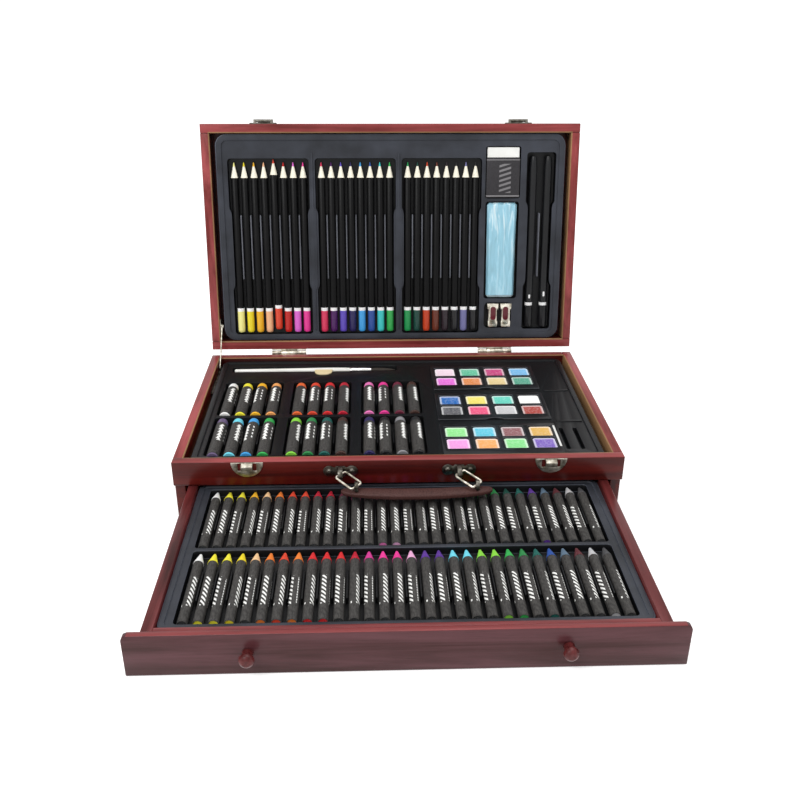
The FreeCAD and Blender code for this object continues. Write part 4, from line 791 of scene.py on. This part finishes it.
class PENCILBOX_OT_trays(bpy.types.Operator):
    """The three formed trays, with their wells, ribs and ridges"""
    bl_idname = "pencilbox.trays"
    bl_label = "Trays"

    def execute(self, context):
        sheet = context.scene.box_sheet
        pale, deep, rib, well_shade = sheet.pale, sheet.deep, sheet.rib, sheet.well_shade
        charcoal = sheet_material("charcoal_sheet", pale, deep, well_shade)
        slate = sheet_material("slate_sheet", tone(pale, 1.22), tone(deep, 1.22), well_shade)
        black = sheet_material("black_sheet", tone(deep, 0.24), tone(well_shade, 0.8), tone(well_shade, 0.6))
        # Painted highlights for the trays' rounded upper edges: paler copies of the sheet.
        sheet_edge_highlight = plastic("painted_sheet_edge_highlight", tone(pale, 2.8), tone(pale, 1.6), coat=(0.3, 0.15))
        black_edge_highlight = plastic("painted_black_edge_highlight", tone(deep, 2.4), tone(deep, 1.4), coat=(0.3, 0.15))
        # Painted highlight on the lid tray's ribs.
        rib_highlight = plastic("painted_rib_highlight", rib, tone(rib, 0.6))
        for label, body, tray, matrix in (
                ("upper_tray", "case", self.upper((black, black, black_edge_highlight)), shift(0, 0, 52.5)),
                ("lid_tray", "lid", self.lid((slate, rib_highlight, sheet_edge_highlight)), LID_FACE),
                ("drawer_tray", "drawer", self.drawer((charcoal, charcoal, sheet_edge_highlight)), shift(0, 0, 30))):
            tray.name = tray.data.name = "formed_" + label
            remember_place(tray)
            tray.data.transform(matrix)
            smooth(tray, 35)
            settle(tray, body, label)
        return {"FINISHED"}

    def upper(self, coats):
        """Three pairs of pastel wells, three palette wells, the brush's groove, its notch and two slots."""
        wells, ribs = [], []
        for third in range(3):
            middle = -138.95 + 67.5 * third
            for start in (-94.5, -17.5):
                wells.append((middle, outline(start - 2, start + 71, 29, 4), 9))
                ribs.append(([middle + 14.3 * gap for gap in (-1, 0, 1)], start + 22, start + 46, -8.9, -1.6))
        wells += [(PALETTES, outline(start - 0.1, start + 56.1, 52.6, 3), 6) for start in PALETTE_STARTS]
        wells.append((-81, outline(79.5, 92.5, 85, 3), 5.3))
        wells.append((NOTCH, [(70.8, 2.5), (71.4, 4.6), (73, 7), (75.4, 8.5), (79.6, 9)], 5.3))
        wells += [(place, outline(-92, -52, 2, 1.9), 5) for place in (148.2, 160.8)]
        ridges = [(159, [(place - 1.4, 11), (place - 0.6, 12), (place + 0.6, 12), (place + 1.4, 11)], 0.8)
                  for place in (27, -39)]
        return formed_tray(coats, TRAY_HALF, -105.6, 105.6, 12.8, 5, 8, wells, ribs, ridges)

    def lid(self, coats):
        """Three waisted pencil wells, the eraser's, the block's, the sharpeners' and the pens'."""
        middles = [-125.05 + 88.3 * third for third in range(3)]
        wells = [(middle, waisted(19.5, 200.5, 41.2, 3.5, 72, 146, 2.2), 7.2) for middle in middles]
        ribs = [([middle + 9.957 * gap for gap in range(-3, 4)], 78, 144, -7.1, -0.9) for middle in middles]
        ribs.append(([PENS], 79, 145, -8.7, -1))
        ridges = [(middle, waisted(24, 206, 1.1, 1, 70, 148, -2.3, 4), 1.0) for middle in (-80.9, 7.4)]
        wells += [(BLOCK, outline(160, 212, 18, 2.5), 8), (BLOCK, outline(56, 157, 17.4, 3), 8),
                  (BLOCK - 2, outline(24.3, 51.8, 14.6, 5), 8),
                  (PENS, waisted(23, 206, 15, 3, 74, 152, 2.4), 8.8)]
        return formed_tray(coats, TRAY_HALF, 13.4, 224.6, 16.8, 6, 12, wells, ribs, ridges)

    def drawer(self, coats):
        """Two rows of thirty places."""
        wells, ribs = [], []
        for start in (-285.7, -197.2):
            wells.append((0, outline(start - 2, start + 83, 160, 3), 6.8))
            ribs.append(([10.6207 * (gap - 14) for gap in range(29)], start + 25, start + 59, -6.7, -1.4))
        return formed_tray(coats, 170.3, -294.8, -106.1, 21.6, 4.5, 8, wells, ribs)


def stick_row(model, name, node, body, colours, roll, slots, matrix=Matrix(), gap=0, raised=None):
    """Copies of one stick along a CAD row, each with its colour and its roll, and with a gap after each fourth.

    With raised, which says how far some of them stand back, their butts are at the row's far end.
    """
    low, high = node_box(node, matrix)
    wide = high.z - low.z
    step = (high.x - low.x - wide - 2 * gap) / (len(colours) - 1)
    flip = Matrix() if raised is None else Matrix.Rotation(math.pi, 4, "Z")
    sticks = []
    for index, colour in enumerate(colours):
        start = low.y if raised is None else high.y - raised.get(index, 0)
        middle = (low.x + wide / 2 + index * step + index // 4 * gap, start, (low.z + high.z) / 2)
        stick = placed(model, name, matrix @ Matrix.Translation(middle) @ flip
                       @ Matrix.Rotation(roll(index), 4, "Y"))
        tinted(stick, tone(COLOURS[colour]), slots(index))
        sticks.append(stick)
    row = joined(name, sticks)
    smooth(row)
    settle(row, body, node)


class PENCILBOX_OT_crayons(bpy.types.Operator):
    """Two rows of thirty sleeved crayons"""
    bl_idname = "pencilbox.crayons"
    bl_label = "Crayons"

    def execute(self, context):
        radius, length = stick_size("crayons_front_row")
        sleeve_end = length - 12.4
        model = turned("crayon_model", [
            (0.72, 0.5), (0.82, 0.5), (0.84, 0), (0.94, 0.3), (0.94, sleeve_end), (1, sleeve_end),
            (0.98, sleeve_end + 0.9), (0.3, length - 1), (0.22, length - 0.25), (0.08, length)], radius, 20)
        coat(model, sleeve("crayon_sleeve", radius, dash_marks), wax("crayon_wax"), wax("crayon_butt"))
        by_length(model, ((sleeve_end - 0.01) * MM, 0), (1, 1))
        for face in model.data.polygons:            # the wax that shows in the butt
            if face.normal.y < -0.9 and face.center.xz.length < radius * 0.8:
                face.material_index = 2
        remember_place(model)
        tinted(model, tone("3a3b3c"))
        for label, colours, bare in (("front", CRAYONS_FRONT, (1, 2, 3, 5, 6, 7, 8, 9, 21, 22, 24, 28)),
                                     ("back", CRAYONS_BACK, (13, 14, 25))):
            stick_row(model, f"crayon_{label}_row", f"crayons_{label}_row", "drawer", colours,
                      lambda index: 0.9 * math.sin(index * 2.4 + 0.6),
                      lambda index: {1, 2} if index in bare else {1})
        bpy.data.objects.remove(model)
        return {"FINISHED"}


class PENCILBOX_OT_pastels(bpy.types.Operator):
    """Two rows of twelve sleeved oil pastels in fours"""
    bl_idname = "pencilbox.pastels"
    bl_label = "Pastels"

    def execute(self, context):
        radius, length = stick_size("pastels_front_row")
        sleeve_start, sleeve_end = 1.8, length - 10.5
        model = turned("pastel_model", [
            (0.84, 0), (0.91, 0.5), (0.91, sleeve_start), (0.97, sleeve_start), (0.97, sleeve_end),
            (0.9, sleeve_end), (0.9, length - 5), (0.82, length - 2.2), (0.55, length - 0.6), (0.2, length)],
            radius)
        coat(model, sleeve("pastel_sleeve", radius, ribbon_marks), wax("pastel_wax", 0.35))
        by_length(model, ((sleeve_start - 0.01) * MM, 1), ((sleeve_end - 0.01) * MM, 0), (1, 1))
        remember_place(model)
        for label, colours in (("back", PASTELS_BACK), ("front", PASTELS_FRONT)):
            stick_row(model, f"pastel_{label}_row", f"pastels_{label}_row", "case", colours,
                      lambda index: 0.8 * math.sin(index * 1.9 + 0.4), lambda index: {1}, gap=10.3 * MM)
        bpy.data.objects.remove(model)
        return {"FINISHED"}


class PENCILBOX_OT_pencils(bpy.types.Operator):
    """Three groups of eight pencils in the lid"""
    bl_idname = "pencilbox.pencils"
    bl_label = "Pencils"

    def execute(self, context):
        settings = context.scene.box_colours
        radius, length = stick_size("pencils_left", LID)
        band_start, band_end, cone, lead = 22.6, 26, length - 15, length - 4
        model = turned("pencil_model", [
            (0.45, 0), (0.8, 0.35), (0.97, 1.5), (1, 3), (1, band_start), (1, band_end), (1, cone - 0.2),
            (0.96, cone), (0.3, lead), (0.1, length)], radius, 16)
        coat(model, wax("dipped_colour", 0.15, 0.02, Coat_Weight=0.25, Coat_Roughness=0.08),
             plastic("black_lacquer", settings.lacquer, tone(settings.lacquer, 0.6), 0.05, (0.06, 0.2),
                     Specular_IOR_Level=0.12),
             timber("sharpened_wood", settings.cone, tone(settings.cone, 0.9), "z", 0.0),
             wax("white_band", 0.18, 0.02), wax("pencil_lead", 0.3))
        by_length(model, ((band_start - 0.1) * MM, 0), (band_end * MM, 3), ((cone - 0.15) * MM, 1),
                  (lead * MM, 2), (1, 4))
        remember_place(model)
        tinted(model, settings.band)
        for label, colours in PENCILS.items():
            stick_row(model, "pencil_group_" + label, "pencils_" + label, "lid", colours,
                      lambda index: index * 1.3, lambda index: {0, 4}, LID,
                      raised={4: 0.003} if label == "left" else {})
        bpy.data.objects.remove(model)
        return {"FINISHED"}


class PENCILBOX_OT_brush(bpy.types.Operator):
    """The paint brush: lacquered handle, crimped ferrule and pointed hair"""
    bl_idname = "pencilbox.brush"
    bl_label = "Brush"

    def execute(self, context):
        for label, node, slot, stations, material in (
                ("brush_stick", "brush_handle", "brush_white",
                 [(0.35, 0), (0.6, 0.004), (0.72, 0.012), (0.8, 0.3), (1, 0.85), (0.92, 0.97), (0.82, 1)],
                 plastic("white_lacquer", "f6f6f2", "e6e4dc", 0.05, (0.8, 0.08))),
                ("brush_collar", "brush_ferrule", "brush_metal",
                 [(0.9, 0), (1, 0.02), (1, 0.2), (0.94, 0.23), (1, 0.26), (1, 0.32), (0.94, 0.35), (1, 0.38),
                  (0.95, 0.7), (0.8, 1)], nickel("nickel")),
                ("brush_hair", "brush_bristles", "brush_hair",
                 [(0.9, 0), (1, 0.25), (0.92, 0.5), (0.6, 0.8), (0.1, 1)], self.hair())):
            low, high = node_box(node)
            radius, length = (high.z - low.z) / 2, high.x - low.x
            part = turned(label, stations, radius, length=length)
            part.data.transform(Matrix.Translation((low.x, (low.y + high.y) / 2, (low.z + high.z) / 2))
                                @ Matrix.Rotation(-math.pi / 2, 4, "Z"))
            coat(part, material)
            smooth(part)
            settle(part, "case", node)
        self.patch()
        return {"FINISHED"}

    def patch(self):
        """Pale wood that shows in the finger notch under the brush."""
        notch = [(71, 2.6), (71.6, 4.8), (73.2, 7), (75.6, 8.5), (79.5, 9), (82.6, 9)]
        patch = channel("notch_patch", NOTCH, notch, 47.3, 53.2)
        coat(patch, timber("notch_wood", "f2e2b8", "d8bc84", coat=0.2))
        settle(patch, "case")

    def hair(self):
        """Dark hair, with strands along X."""
        hair = Finish("brush_hair")
        strand = hair.noise(hair.stretch(hair.place(), (60, 2600, 2600)), 1, 3)
        return hair.set(Base_Color=hair.mix(strand, tone("141210"), tone("4a423c")),
                        Roughness=hair.plus(0.35, hair.times(strand, 0.3)),
                        Normal=hair.bump(strand, 0.6, 0.0003))


def solid_boxes(thing):
    """The box of each separate solid in a merged mesh."""
    work = bmesh.new()
    work.from_mesh(thing.data)
    left = set(work.verts)
    boxes = []
    while left:
        wave = [left.pop()]
        found = list(wave)
        while wave:
            for edge in wave.pop().link_edges:
                for vertex in left.intersection(edge.verts):
                    left.remove(vertex)
                    wave.append(vertex)
                    found.append(vertex)
        boxes.append([Vector([pick_one(vertex.co[axis] for vertex in found) for axis in range(3)])
                      for pick_one in (min, max)])
    work.free()
    return boxes


class PENCILBOX_OT_paints(bpy.types.Operator):
    """Three black palettes of eight pressed colours"""
    bl_idname = "pencilbox.paints"
    bl_label = "Paints"

    def execute(self, context):
        palettes = merged("black_palettes", "paint_palettes")
        notches = []
        for start in PALETTE_STARTS[:2]:
            deselect()
            bpy.ops.mesh.primitive_cylinder_add(vertices=32, radius=10.5 * MM, depth=8 * MM,
                                                location=(PALETTES * MM, (start - 4.6) * MM, 54.2 * MM))
            bpy.context.object.scale = (1, 0.75, 1)
            notches.append(added("notch"))
        sunk(palettes, notches)
        bevelled(palettes, 0.0008, 3)
        smooth(palettes)
        coat(palettes, plastic("palette_gloss", "1e2024", "0e0f11", 0.15, (0.2, 0.1)),
             plastic("painted_palette_rim_highlight", "54575d", "34363a", 0.1, (0.4, 0.1)))
        # Painted highlight: the palettes' rounded upper edges take the paler grey plastic.
        rounded(palettes, 1)
        settle(palettes, "case", "paint_palettes")
        # Painted reflection: a thin white strip for the light on palette three's right edge.
        strip = channel("palette_edge_glint", 142.1, outline(-88, -49, 0.9, 0.4), 53.1, 53.6)
        coat(strip, plastic("painted_edge_reflection", "f4f4f2", "d8d8d4", 0.05))
        settle(strip, "case")
        self.cakes()
        return {"FINISHED"}

    def cakes(self):
        """All the pressed colours, row by row from the back, each filling its place in the CAD."""
        rough = merged("cake_finder", "paint_cakes")
        boxes = solid_boxes(rough)
        bpy.data.objects.remove(rough)
        boxes.sort(key=lambda box: (-round((box[0].y + box[1].y) / 2, 3), box[0].x))
        model = self.cake()
        remember_place(model)
        cakes = []
        for (low, high), name in zip(boxes, CAKES):
            size = Matrix.Diagonal((*(high - low), 1))
            cake = placed(model, "cake", Matrix.Translation((low + high) / 2) @ size)
            tinted(cake, tone(COLOURS[name]))
            cakes.append(cake)
        bpy.data.objects.remove(model)
        cake = joined("pressed_colours", cakes)
        bevelled(cake, 0.0005, 2, 0.5)
        coat(cake, self.powder())
        smooth(cake, 50)
        settle(cake, "case", "paint_cakes")

    def powder(self):
        """Pressed powder: the cake's own colour, speckled, and paler along its rim."""
        cake = Finish("pressed_paint", Roughness=0.7)
        _, across, along, _ = cake.own_place()
        rim = cake.maths("MAXIMUM", cake.maths("ABSOLUTE", across), cake.maths("ABSOLUTE", along))
        tint, grain = cake.tint(), cake.noise(cake.place(), 700)
        pale = cake.mix(0.5, tint, (1, 1, 1))
        dusty = cake.mix(cake.times(cake.ramp(grain, 0.45, 0.62), 0.3), tint, pale)
        return cake.set(Base_Color=cake.mix(cake.spread(rim, 0.38, 0.44), dusty, pale),
                        Normal=cake.bump(grain, 0.4, 0.0002))

    def cake(self):
        """One cake, a unit across: rounded corners and a top that dips inside its rim."""
        deselect()
        bpy.ops.mesh.primitive_cube_add(size=1)
        cake = added("cake_model")
        with editing():
            choose(cake, "EDGE", lambda edge: abs(edge.verts[0].co.z - edge.verts[1].co.z) > 0.5)
            bpy.ops.mesh.bevel(offset=0.13, segments=4)
            choose(cake, "FACE", lambda face: face.normal.z > 0.9)
            bpy.ops.mesh.inset(thickness=0.07)
            bpy.ops.transform.translate(value=(0, 0, -0.12))
        return cake


class PENCILBOX_OT_extras(bpy.types.Operator):
    """Eraser, film-wrapped soft block, sharpeners and pens"""
    bl_idname = "pencilbox.extras"
    bl_label = "Eraser, block, sharpeners and pens"

    def execute(self, context):
        bright = nickel("bright_wire")
        rubber = plastic("white_rubber", "fbfbf8", "e6e6e0", 0.2)
        for label, node, slot, width, material in (
                ("rubber", "eraser_block", "rubber_white", 0.0009, rubber),
                ("rubber_sleeve", "eraser_sleeve", "sleeve_card", 0.0002, self.card()),
                ("metal_sharpeners", "sharpeners", "sharpener_metal", 0.0004, bright),
                ("cutting_blades", "sharpener_blades", "blade_steel", 0.0001, bright)):
            thing = eased(label, width, node)
            coat(thing, material)
            settle(thing, "lid", node)
        self.block(context)
        self.inserts()
        self.pens()
        return {"FINISHED"}

    def card(self):
        """Dark card with fibres in it, two pale printed lines and a ladder of dashes between them."""
        card = Finish("grey_card")
        place = card.place()
        across, _, height = card.put("SeparateXYZ", {0: place})
        fibre = card.noise(place, 600)
        lines = card.plus(card.band(height, 0.2515, 0.2522), card.band(height, 0.2158, 0.2170))
        ladder = card.times(card.band(across, 0.1105, 0.1225), card.band(height, 0.2195, 0.248))
        ladder = card.times(ladder, card.stroke(height, across, -0.3, 0.0048, 0.45))
        lines = card.plus(lines, card.times(ladder, 0.75))
        board = card.mix(fibre, tone("2a292b"), tone("413f42"))
        return card.set(Base_Color=card.mix(lines, board, tone("8e8c8e")),
                        Roughness=card.plus(0.3, card.times(fibre, 0.3)))

    def block(self, context):
        """The soft block: a rounded bar, narrower below, in clinging film with long creases."""
        level, foot = -3.5, 57
        deselect()
        bpy.ops.mesh.primitive_cube_add(size=1, location=(BLOCK * MM, 106.5 * MM, level * MM))
        bpy.context.object.scale = (32.2 * MM, 98.6 * MM, 8.2 * MM)
        block = added("soft_block")
        with editing():
            bpy.ops.mesh.bevel(offset=2.4 * MM, segments=1, affect="EDGES")
            bpy.ops.mesh.select_all(action="SELECT")
            bpy.ops.mesh.subdivide(number_cuts=22)
        for vertex in block.data.vertices:
            across, up, high = vertex.co / MM
            reach, side = (up - foot) / 99, (across - BLOCK) / 16.1
            crease = (math.sin(side * 9 + 2.2 * math.sin(reach * 4.2)) * (0.2 + 0.45 * reach)
                      + 0.3 * math.sin(side * 21 + reach * 3.1 + 0.7) * reach ** 2
                      + 0.22 * math.sin(reach * 31 + side * 5))
            if high > level:
                vertex.co.z += (crease - 0.5 - 0.5 * side ** 4) * MM
            wave = 0.5 * math.sin(reach * 17) + 0.3 * math.sin(reach * 41 + 1)
            vertex.co.x = (BLOCK + side * (15.6 - 0.9 * (1 - reach) - 0.25 * abs(wave))) * MM
        apply_modifier(block, "SUBSURF", levels=1, render_levels=1)
        remember_place(block)
        block.data.transform(LID_FACE)
        coat(block, self.film(context.scene.box_colours.film))
        smooth(block, 80)
        settle(block, "lid", "wrapped_putty")

    def film(self, colour):
        """Pale blue under clear film, with painted highlights along long creases that gather towards the top."""
        film = Finish("blue_film", Coat_Weight=1.0, Coat_Roughness=0.06, Roughness=0.35)
        own, _, up, _ = film.own_place()
        folds = film.noise(film.stretch(own, (260, 26, 260)), 1, 5, 0.5, 1.2)
        # Painted highlight: the creases turn near white, more so towards the top.
        creases = film.times(film.ramp(folds, 0.52, 0.66), film.spread(up, 0.09, 0.156, 0.25))
        hem = film.times(film.maths("LESS_THAN", up, 0.0595), 0.7)
        base = film.mix(film.ramp(folds, 0.3, 0.6), tone(colour, 0.8), colour)
        return film.set(Base_Color=film.mix(film.maths("MAXIMUM", creases, hem), base, tone("e6f7fb")),
                        Normal=film.bump(folds, 0.9, 0.0012))

    def inserts(self):
        """Dark red inserts with a rounded top, set in the sharpeners' faces."""
        plates = [channel("insert", across, outline(33, 47.4, 2.9, 2.6), 0.3, 0.95) for across in (107.9, 121.1)]
        for plate in plates:
            round_above(plate, 0.9, 0.25, 2)
        plate = joined("sharpener_inserts", plates)
        plate.data.transform(LID_FACE)
        coat(plate, plastic("red_plastic", "8e3040", "5c1420", 0.2, (0.5, 0.15)))
        smooth(plate, 60)
        settle(plate, "lid")

    def pens(self):
        """Two black pens: barrels with a flat top, caps with a clip, and a white ring where they meet."""
        black = plastic("pen_black", "17181b", "0a0b0c", 0.05, (0.25, 0.1))
        white = plastic("pen_white", "fafafa", "e8e8e8", 0.05)
        ring_start, ring_end = 48.2, 51.4
        barrel_rings = [(3.9, ring_start), (4, ring_start), (4, ring_end), (3.9, ring_end), (4, 53), (4.05, 190),
                        (3.8, 193), (3.3, 200), (2.6, 202)]
        cap_rings = [(3.2, 25), (4, 25.4), (4.35, 27), (4.38, 46.5), (4.2, ring_start)]
        barrels, caps = [], []
        for index, across in enumerate((146.1, 161.3)):
            barrel, cap = turned("pen", barrel_rings), turned("pen", cap_rings)
            mark = channel("mark", 0, outline(56 + index * 2, 60 + index * 3, 0.9, 0.5), 3.9, 4.15)
            clip = channel("clip", 0, outline(28, 47, 0.9, 0.8), 4.1, 5.2)
            round_above(clip, 5.1, 0.3, 2)
            for piece in (barrel, mark):
                coat(piece, black, white)
            for piece in (cap, clip):
                coat(piece, black)
            by_length(barrel, (ring_end * MM, 1), (1, 0))
            by_length(mark, (1, 1))
            for pieces, pair in ((barrels, [barrel, mark]), (caps, [cap, clip])):
                piece = joined("pen", pair)
                piece.data.transform(LID_FACE @ shift(across, 0, -4.3))
                pieces.append(piece)
        for label, node, pieces in (("pen_barrels", "pens", barrels), ("pen_tops", "pen_caps", caps)):
            thing = joined(label, pieces)
            smooth(thing)
            settle(thing, "lid", node)


class PENCILBOX_OT_metalwork(bpy.types.Operator):
    """Hinges, latches and the lid stay"""
    bl_idname = "pencilbox.metalwork"
    bl_label = "Metalwork"

    def execute(self, context):
        for label, body, node, finish in (
                ("hinge_leaves_case", "case", "hinge_case_leaves", "painted_highlight_nickel"),
                ("hinge_leaves_lid", "lid", "hinge_lid_leaves", "painted_highlight_nickel"),
                ("hinge_rods", "case", "hinge_pins", "painted_highlight_nickel"),
                ("keepers", "case", "latch_keepers", "soft_nickel"),
                ("latches", "lid", "latch_plates", "dark_latch"),
                ("left_hasp", "left_hasp", "hasp_left", "dark_latch"),
                ("right_hasp", "right_hasp", "hasp_right", "dark_latch"),
                ("stay_rail", "case", "stay_ledge", "dull_nickel"),
                ("stay_lug", "lid", "stay_bracket", "soft_nickel"),
                ("stay_link", "stay", "stay_arm", "painted_highlight_nickel")):
            thing = eased(label, METAL_EDGE, node)
            coat(thing, nickel(finish))
            settle(thing, body, node)
        return {"FINISHED"}


class PENCILBOX_OT_handle(bpy.types.Operator):
    """Front handle: mounts, screws, rings and the leather-cloth grip"""
    bl_idname = "pencilbox.handle"
    bl_label = "Handle"

    def execute(self, context):
        for label, body, slot, node in (
                ("mounts", "case", "nickel", "handle_mounts"), ("screws", "case", "screw_steel", "handle_screws"),
                ("wire_rings", "rings", "nickel", "handle_rings"), ("eyes", "grip", "nickel", "grip_eyes")):
            wire = node == "handle_rings"
            thing = merged(label, node) if wire else eased(label, METAL_EDGE, node)
            if wire:
                apply_modifier(thing, "DISPLACE", strength=0.0002, mid_level=0)
                smooth(thing, 80)
            coat(thing, nickel("bright_wire" if wire else "dull_nickel"))
            settle(thing, body, node)
        grip = eased("padded_grip", 0.0012, "handle_grip", segments=3)
        coat(grip, self.leather(context.scene.box_metal.grip))
        settle(grip, "grip", "handle_grip")
        return {"FINISHED"}

    def leather(self, colour):
        """Leather cloth: pebbled grain, with painted shade in the creases."""
        cloth = Finish("leather_cloth", Specular_IOR_Level=0.3)
        place = cloth.place()
        pebble = cloth.put("TexVoronoi", {"Vector": place, "Scale": 900.0})["Distance"]
        wear = cloth.times(cloth.noise(place, 90, 3), 0.3)
        # Painted shade: the cloth darkens in the creases between the pebbles.
        crease_shaded = cloth.mix(pebble, colour, tone(colour, 0.35))
        return cloth.set(Base_Color=cloth.mix(wear, crease_shaded, tone(colour, 1.8)),
                         Roughness=cloth.plus(0.38, cloth.times(pebble, 0.4)),
                         Normal=cloth.bump(pebble, 0.5, 0.0002, invert=True))


class PENCILBOX_OT_stage(bpy.types.Operator):
    """Pale floor, soft lamps and the camera"""
    bl_idname = "pencilbox.stage"
    bl_label = "Stage"

    def execute(self, context):
        deselect()
        bpy.ops.mesh.primitive_plane_add(size=40)
        floor = added("studio_floor")
        white = Finish("studio_white", Roughness=0.9, Specular_IOR_Level=0.1)
        speck = white.mix(white.noise(white.place(), 8), (0.96, 0.96, 0.96), (1, 1, 1))
        coat(floor, white.set(Base_Color=speck, Emission_Color=(1, 1, 1),
                              Emission_Strength=white.times(white.seen_directly(), 0.4)))
        self.world()
        aim = Vector((0, -0.08, 0.08))
        for name, place, size, power in (("key", (-1.1, -1.5, 2.1), 1.4, 34), ("top", (0.4, 0.3, 2.4), 1.6, 18)):
            bpy.ops.object.light_add(type="AREA", location=place)
            lamp = bpy.context.object
            lamp.name, lamp.data.size, lamp.data.energy = name + "_lamp", size, power
            lamp.rotation_euler = (aim - Vector(place)).to_track_quat("-Z", "Y").to_euler()
        self.camera()
        context.scene.view_settings.view_transform = "Standard"
        return {"FINISHED"}

    def world(self):
        """Even white light, and plain white behind the floor's far edge."""
        world = bpy.data.worlds.new("studio")
        bpy.context.scene.world = world
        world.use_nodes = True
        sky = Shading(world.node_tree)
        background = sky.tree.nodes["Background"]
        sky.feed(background.inputs["Color"], (1, 1, 1))
        sky.feed(background.inputs["Strength"], sky.plus(0.66, sky.times(sky.seen_directly(), 0.34)))

    def camera(self):
        """The camera, from its place, its turn and its tilts in degrees."""
        yaw, pitch, roll = (math.radians(angle) for angle in (2.1228, 25.857, 0.286))
        forward = Vector((math.sin(yaw) * math.cos(pitch), math.cos(yaw) * math.cos(pitch), -math.sin(pitch)))
        right = Vector((math.cos(yaw), -math.sin(yaw), 0))
        up = right.cross(forward)
        side = right * math.cos(roll) + up * math.sin(roll)
        top = up * math.cos(roll) - right * math.sin(roll)
        bpy.ops.object.camera_add()
        camera = bpy.context.object
        camera.name = "studio_camera"
        camera.matrix_world = Matrix.Translation((-0.02472, -0.7784, 0.43471)) @ Matrix(
            (side, top, -forward)).transposed().to_4x4()
        camera.data.lens, camera.data.sensor_width = 40.84, 36
        camera.data.clip_end = 60
        bpy.context.scene.camera = camera


STEPS = (PENCILBOX_OT_stage, PENCILBOX_OT_boards, PENCILBOX_OT_trays, PENCILBOX_OT_crayons,
         PENCILBOX_OT_pastels, PENCILBOX_OT_pencils, PENCILBOX_OT_brush, PENCILBOX_OT_paints,
         PENCILBOX_OT_extras, PENCILBOX_OT_metalwork, PENCILBOX_OT_handle)


class PENCILBOX_PT_panel(bpy.types.Panel):
    """Settings and pieces of the pencil drawer box"""
    bl_label = "Pencil Box"
    bl_idname = "PENCILBOX_PT_panel"
    bl_space_type = "VIEW_3D"
    bl_region_type = "UI"
    bl_category = "Pencil Box"

    def draw(self, context):
        for key, kind in GROUPS.items():
            box = self.layout.box()
            box.label(text=kind.__name__)
            for setting in kind.__annotations__:
                box.prop(getattr(context.scene, key), setting)
        for step in STEPS:
            self.layout.operator(step.bl_idname)


def register():
    """Registers the settings, the operators and the panel."""
    for kind in (*GROUPS.values(), *STEPS, PENCILBOX_PT_panel):
        bpy.utils.register_class(kind)
    for key, kind in GROUPS.items():
        setattr(bpy.types.Scene, key, bpy.props.PointerProperty(type=kind))


def unregister():
    """Takes them away again."""
    for key in GROUPS:
        delattr(bpy.types.Scene, key)
    for kind in reversed((*GROUPS.values(), *STEPS, PENCILBOX_PT_panel)):
        bpy.utils.unregister_class(kind)


def main():
    """Builds every piece in order."""
    register()
    for step in STEPS:
        family, verb = step.bl_idname.split(".")
        getattr(getattr(bpy.ops, family), verb)()


if __name__ == "__main__":
    main()
